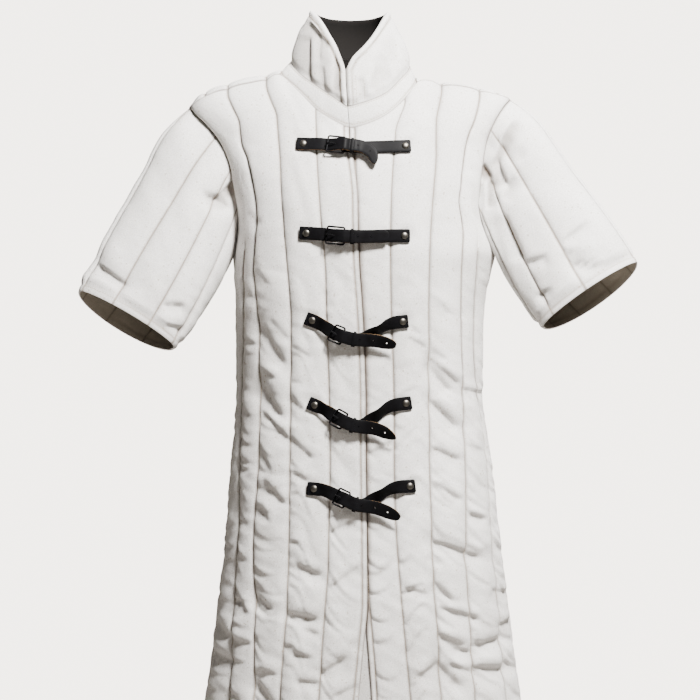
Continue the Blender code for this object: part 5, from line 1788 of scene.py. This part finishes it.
def tongue_profile(far, heel, keeper, length):
    """(s, height) along the tongue: under the far bar, over the heel bar, through the keeper, its tail."""
    before = [(0, ON_CLOTH), (14, ON_CLOTH), (far - 10, UNDER_KEEPER - 1.5), (far, UNDER_KEEPER - 1.2)]
    climb = [(far + 3, UNDER_KEEPER - 0.3), (heel - 4, OVER_BAR - 0.8), (heel, OVER_BAR + 0.1)]
    inside = [(heel + 4, OVER_BAR - 1.3), (keeper - 4, ON_RETURN), (keeper + 5, ON_RETURN)]
    start, settled = keeper + 13, UNDER_KEEPER + LAYER
    tail = [(start + (length - start) * share, settled) for share in (0.35, 0.65, 0.82, 0.93, 1)]
    return before + climb + inside + [(start, settled + 0.8)] + tail


def rounded_frame(middle, length):
    """(s, across) round the buckle, with its four corners rounded."""
    half = STRAP_WIDTH / 2
    reach, side = length / 2, half + GAP + FRAME_CLEAR + WIRE / 2
    found = []
    for along, across, start in ((1, 1, 0), (-1, 1, 90), (-1, -1, 180), (1, -1, 270)):
        for turn in np.radians(start + np.linspace(0, 90, 5)):
            s = middle + along * (reach - BUCKLE_CORNER) + BUCKLE_CORNER * math.cos(turn)
            found.append((s, across * (half + SPARE) + (side - half - SPARE) * math.sin(turn)))
    return found


# How far up the tongue's climb the prong ends.
PRONG_SHARE = 0.48


def prong_rings(tongue, far, length):
    """Outlines along the prong: from its tip on the far bar to where it meets the climbing tongue."""
    climb_length, climb = length - 7, OVER_BAR - SPARE - UNDER_KEEPER
    on_bar = BAR + WIRE / 2 + GAP + PRONG
    slope = math.hypot(climb_length, climb + SPARE) / climb_length
    end = UNDER_KEEPER - 0.3 + PRONG_SHARE * climb + GAP + (STRAP_THICKNESS / 2 + PRONG) * slope
    line = (far - 2.0, far - 1.5, far + 1.5, far + 3 + PRONG_SHARE * climb_length)
    heights = (on_bar, on_bar, on_bar, max(on_bar + 0.3, end))
    at = np.linspace(0, 3, 12)
    places = zip(np.interp(at, range(4), line), np.interp(at, range(4), heights))
    from_end = 1 - np.minimum(at, 3 - at) / 0.5
    radii = PRONG * np.clip(np.sqrt(1 - from_end.clip(0, 1) ** 2), 0.3, 1)
    return wire_rings(np.array([spot(tongue, s, 0, height) for s, height in places]), radii)


# Section of the keeper's loop. Columns: place along the strap from its middle, share of its wall outwards.
KEEPER_SECTION = (
    (-KEEPER_HALF, 0.15),
    (-KEEPER_HALF, 0.85),
    (-KEEPER_HALF + 0.4, 1),
    (KEEPER_HALF - 0.4, 1),
    (KEEPER_HALF, 0.85),
    (KEEPER_HALF, 0.15),
    (KEEPER_HALF - 0.3, 0),
    (-KEEPER_HALF + 0.3, 0),
)


def keeper_rings(tongue, keeper):
    """The keeper's section, carried round both layers of strap."""
    low, high = UNDER_KEEPER - STRAP_THICKNESS / 2 - 0.4, ON_RETURN + STRAP_THICKNESS / 2 + 0.4
    tall, wide = (high - low) / 2, STRAP_WIDTH / 2 + 1.0
    turns = np.radians(np.arange(0, 360, 10))
    flat_round = np.sign(np.cos(turns)) * np.abs(np.cos(turns)) ** 0.3
    tall_round = np.sign(np.sin(turns)) * np.abs(np.sin(turns)) ** 0.5
    rings = []
    for across, up in zip(flat_round, tall_round):
        ring = []
        for s, out in KEEPER_SECTION:
            spare = KEEPER_WALL * out
            height = (low + high) / 2 + up * (tall + spare)
            ring.append(spot(tongue, keeper + s, across * (wide + spare), height))
        rings.append(ring)
    return np.array(rings)


# A rivet's dome. Columns: radius and height of each ring, as shares of the rivet's own.
DOME = (
    (0.5, 0),
    (0.99, 0),
    (1, 0.08),
    (0.97, 0.2),
    (0.9, 0.42),
    (0.76, 0.66),
    (0.56, 0.84),
    (0.3, 0.96),
    (0.05, 1),
)


def rivet_rings(route, s):
    middle, up, first, second = frame_at(route, s, ON_CLOTH + STRAP_THICKNESS / 2 + GAP)
    turns = np.linspace(0, 2 * math.pi, 24, endpoint=False)
    around = [first * math.cos(turn) + second * math.sin(turn) for turn in turns]
    rings = [[middle + RIVET_RADIUS * r * way + up * RIVET_RISE * h for way in around] for r, h in DOME]
    return np.array(rings)


def hard_piece(kind, number, data):
    node = f"closure_{number}_{kind}"
    return finish_piece(f"{node}_worn", data, (node,))


# How each tongue's last places narrow to its tip, and how far its two straps and its tail stand on edge.
TIPS = (
    (0.98, 0.84, 0.64, 0.36, 0.05),
    (0.97, 0.8, 0.42),
    (0.86, 0.66, 0.34),
    (0.76, 0.5, 0.12),
    (0.86, 0.66, 0.3),
)
ON_EDGE = ((0, 0, 0), (0, 0, 0), (24, 56, 30), (38, 52, 40), (26, 52, 30))

for number, (tongue_path, buckle_strap_path, middle, length, keeper_gap) in enumerate(CLOSURES, 1):
    half = STRAP_WIDTH / 2
    tongue_turn, buckle_strap_turn, tail_turn = ON_EDGE[number - 1]
    tongue = Route(tongue_path)
    far, heel = middle - length / 2, middle + length / 2
    keeper = heel + keeper_gap
    shared = [tuple(tongue.at(s)) for s in (keeper + 7, keeper, heel + 5, heel, heel - 5, heel - 10)]
    other = Route(list(buckle_strap_path) + shared)

    profile = buckle_strap_profile(other.marks[-3], keeper_gap)
    level = other.marks[-3] - keeper_gap - 14
    turned = ((14, 0), (0.5 * level + 7, buckle_strap_turn), (level, 0))
    data = strap_data("buckle_strap", other, profile, [half] * len(profile), turned)
    hard_piece("buckle_strap", number, data)

    profile = tongue_profile(far, heel, keeper, tongue.length)
    tip = TIPS[number - 1]
    widths = [half] * (len(profile) - len(tip)) + [half * share for share in tip]
    turned = ((14, 0), (0.5 * far + 5, tongue_turn), (far - 4, 0), (keeper + 9, 0))
    turned += ((tongue.length, tail_turn),)
    data = strap_data("tongue_strap", tongue, profile, widths, turned, raw_edges=True)
    holes = np.arange(keeper + 9, tongue.length - 14, HOLE_PITCH)
    if len(holes):
        data = punched(data, tongue, holes, UNDER_KEEPER + LAYER)
    hard_piece("tongue_strap", number, data)

    frame_line = np.array([spot(tongue, s, across, BAR) for s, across in rounded_frame(middle, length)])
    data = lofted("buckle_frame", wire_rings(frame_line, WIRE / 2, looped=True), (STEEL,), looped=True)
    hard_piece("buckle_frame", number, data)

    data = lofted("prong", prong_rings(tongue, far, length), (STEEL,))
    hard_piece("prong", number, data)
    data = lofted("keeper", keeper_rings(tongue, keeper), (LEATHER,), looped=True)
    hard_piece("keeper", number, data)
    for kind, route, s in (("rivet_right", tongue, TONGUE_RIVET), ("rivet_left", other, BUCKLE_RIVET)):
        hard_piece(kind, number, lofted(kind, rivet_rings(route, s), (NICKEL,)))
print(f"{len(CLOSURES)} closures")

# %% [markdown]
# ## How each piece was cut
# A tailor cuts flat cloth, so each piece's flat size is listed: the size of what is built, measured along its
# stitched skin, with no seam turnings. A sleeve's width is its whole way round at the armhole. The area is
# less than the rectangle, because shoulders, armholes and flared sides are cut away from it.

# %% Flat sizes of the cloth
CUTS = {
    "front_right": (0.340, 1.090, 0.289),
    "front_left": (0.340, 1.090, 0.290),
    "back": (0.690, 1.140, 0.592),
    "sleeve_right": (0.570, 0.355, 0.143),
    "sleeve_left": (0.597, 0.345, 0.132),
    "collar": (0.540, 0.098, 0.037),
    "collar_band": (0.628, 0.041, 0.0190),
    "front_underlap": (0.054, 0.334, 0.0180),
}
for name, (width, length, area) in CUTS.items():
    piece, stitches = made[name]
print(f"{len(CUTS)} pieces of cloth, {sum(area for *_, area in CUTS.values()):.2f} square metres in all")

# %% [markdown]
# ## Studio
# The coat is shown from the front through a long lens, so that its outline isn't stretched. A soft key
# light from the right and above rakes over the channels and wrinkles, and a wide, weaker one from behind
# parts the coat from its background and lights its back. The air of the studio is dim above and below,
# paler near the horizon, and bright straight behind the coat, like a sheet of paper. A painted wall would
# do that too, but it would hide the coat from behind.

# %% Floor, lights and camera
def area_light(name, place, target, width, height, watts, colour):
    data = bpy.data.lights.new(name, "AREA")
    data.shape, data.size, data.size_y, data.energy = "RECTANGLE", width, height, watts
    data.color = linear(colour)[:3]
    light = bpy.data.objects.new(name, data)
    light.location = place
    way = np.array(target) - np.array(place)
    light.rotation_euler = Vector(way).to_track_quat("-Z", "Y").to_euler()
    bpy.context.scene.collection.objects.link(light)


def flat_plane(name, corners, code):
    mesh = bmesh.new()
    bmesh.ops.create_grid(mesh, x_segments=1, y_segments=1, size=1)
    for vertex, corner in zip(mesh.verts, corners):
        vertex.co = corner
    plane = bpy.data.objects.new(name, stored(mesh, name, (new_material(f"{name} paint", code, 0.95),)))
    bpy.context.scene.collection.objects.link(plane)


FLOOR, REACH = -1.35, 1.8
flat_plane("floor", [(x * REACH, y * REACH, FLOOR) for y in (-1, 1) for x in (-1, 1)], "#8d8984")
area_light("key", (0.85, -1.5, 1.65), (0, 0, -0.45), 0.55, 0.55, 470, "#fffdfa")
area_light("back light", (1.1, 2.5, 1.5), (0, 0, -0.4), 1.2, 1.2, 150, "#ffffff")

PICTURE_SIDE = 700  # the framing's own steps across the picture
STEP = 1.6 * MM  # size of one of them at the coat's front
MIDDLE_X, MIDDLE_Z = -2, -275  # the middle of the picture, in steps from the coat's reference point
DISTANCE, COAT_FRONT = 9.0, -0.07
FILM = 36
camera_data = bpy.data.cameras.new("camera")
camera_data.sensor_width = FILM
camera_data.lens = FILM * DISTANCE / (PICTURE_SIDE * STEP)
camera_data.clip_end = 50
camera = bpy.data.objects.new("camera", camera_data)
camera.location = (MIDDLE_X * STEP, COAT_FRONT - DISTANCE, MIDDLE_Z * STEP)
camera.rotation_euler = (math.pi / 2, 0, 0)
bpy.context.scene.collection.objects.link(camera)
bpy.context.scene.camera = camera

# %% Air and paper background
DIM, HORIZON, PAPER = 0.05, 0.28, 5.5  # strength of the air above, all round at eye height, and of the paper
PAPER_FROM, PAPER_TO = 0.988, 0.9955  # cosine from straight behind, where the paper starts and is full
world = bpy.data.worlds.new("studio air")
bpy.context.scene.world = world
world.use_nodes = True
background = world.node_tree.nodes["Background"]
background.inputs["Color"].default_value = linear("#f6efe6")
direction = add_node(world, "ShaderNodeTexCoord").outputs["Generated"]
ways_of = add_node(world, "ShaderNodeSeparateXYZ", Vector=direction).outputs
air = spread(world, maths(world, "ABSOLUTE", ways_of["Z"]), 0.12, 0.4, HORIZON, DIM)
paper = spread(world, ways_of["Y"], PAPER_FROM, PAPER_TO, 0.0, PAPER)
strength = maths(world, "MAXIMUM", air, paper)
world.node_tree.links.new(strength, background.inputs["Strength"])
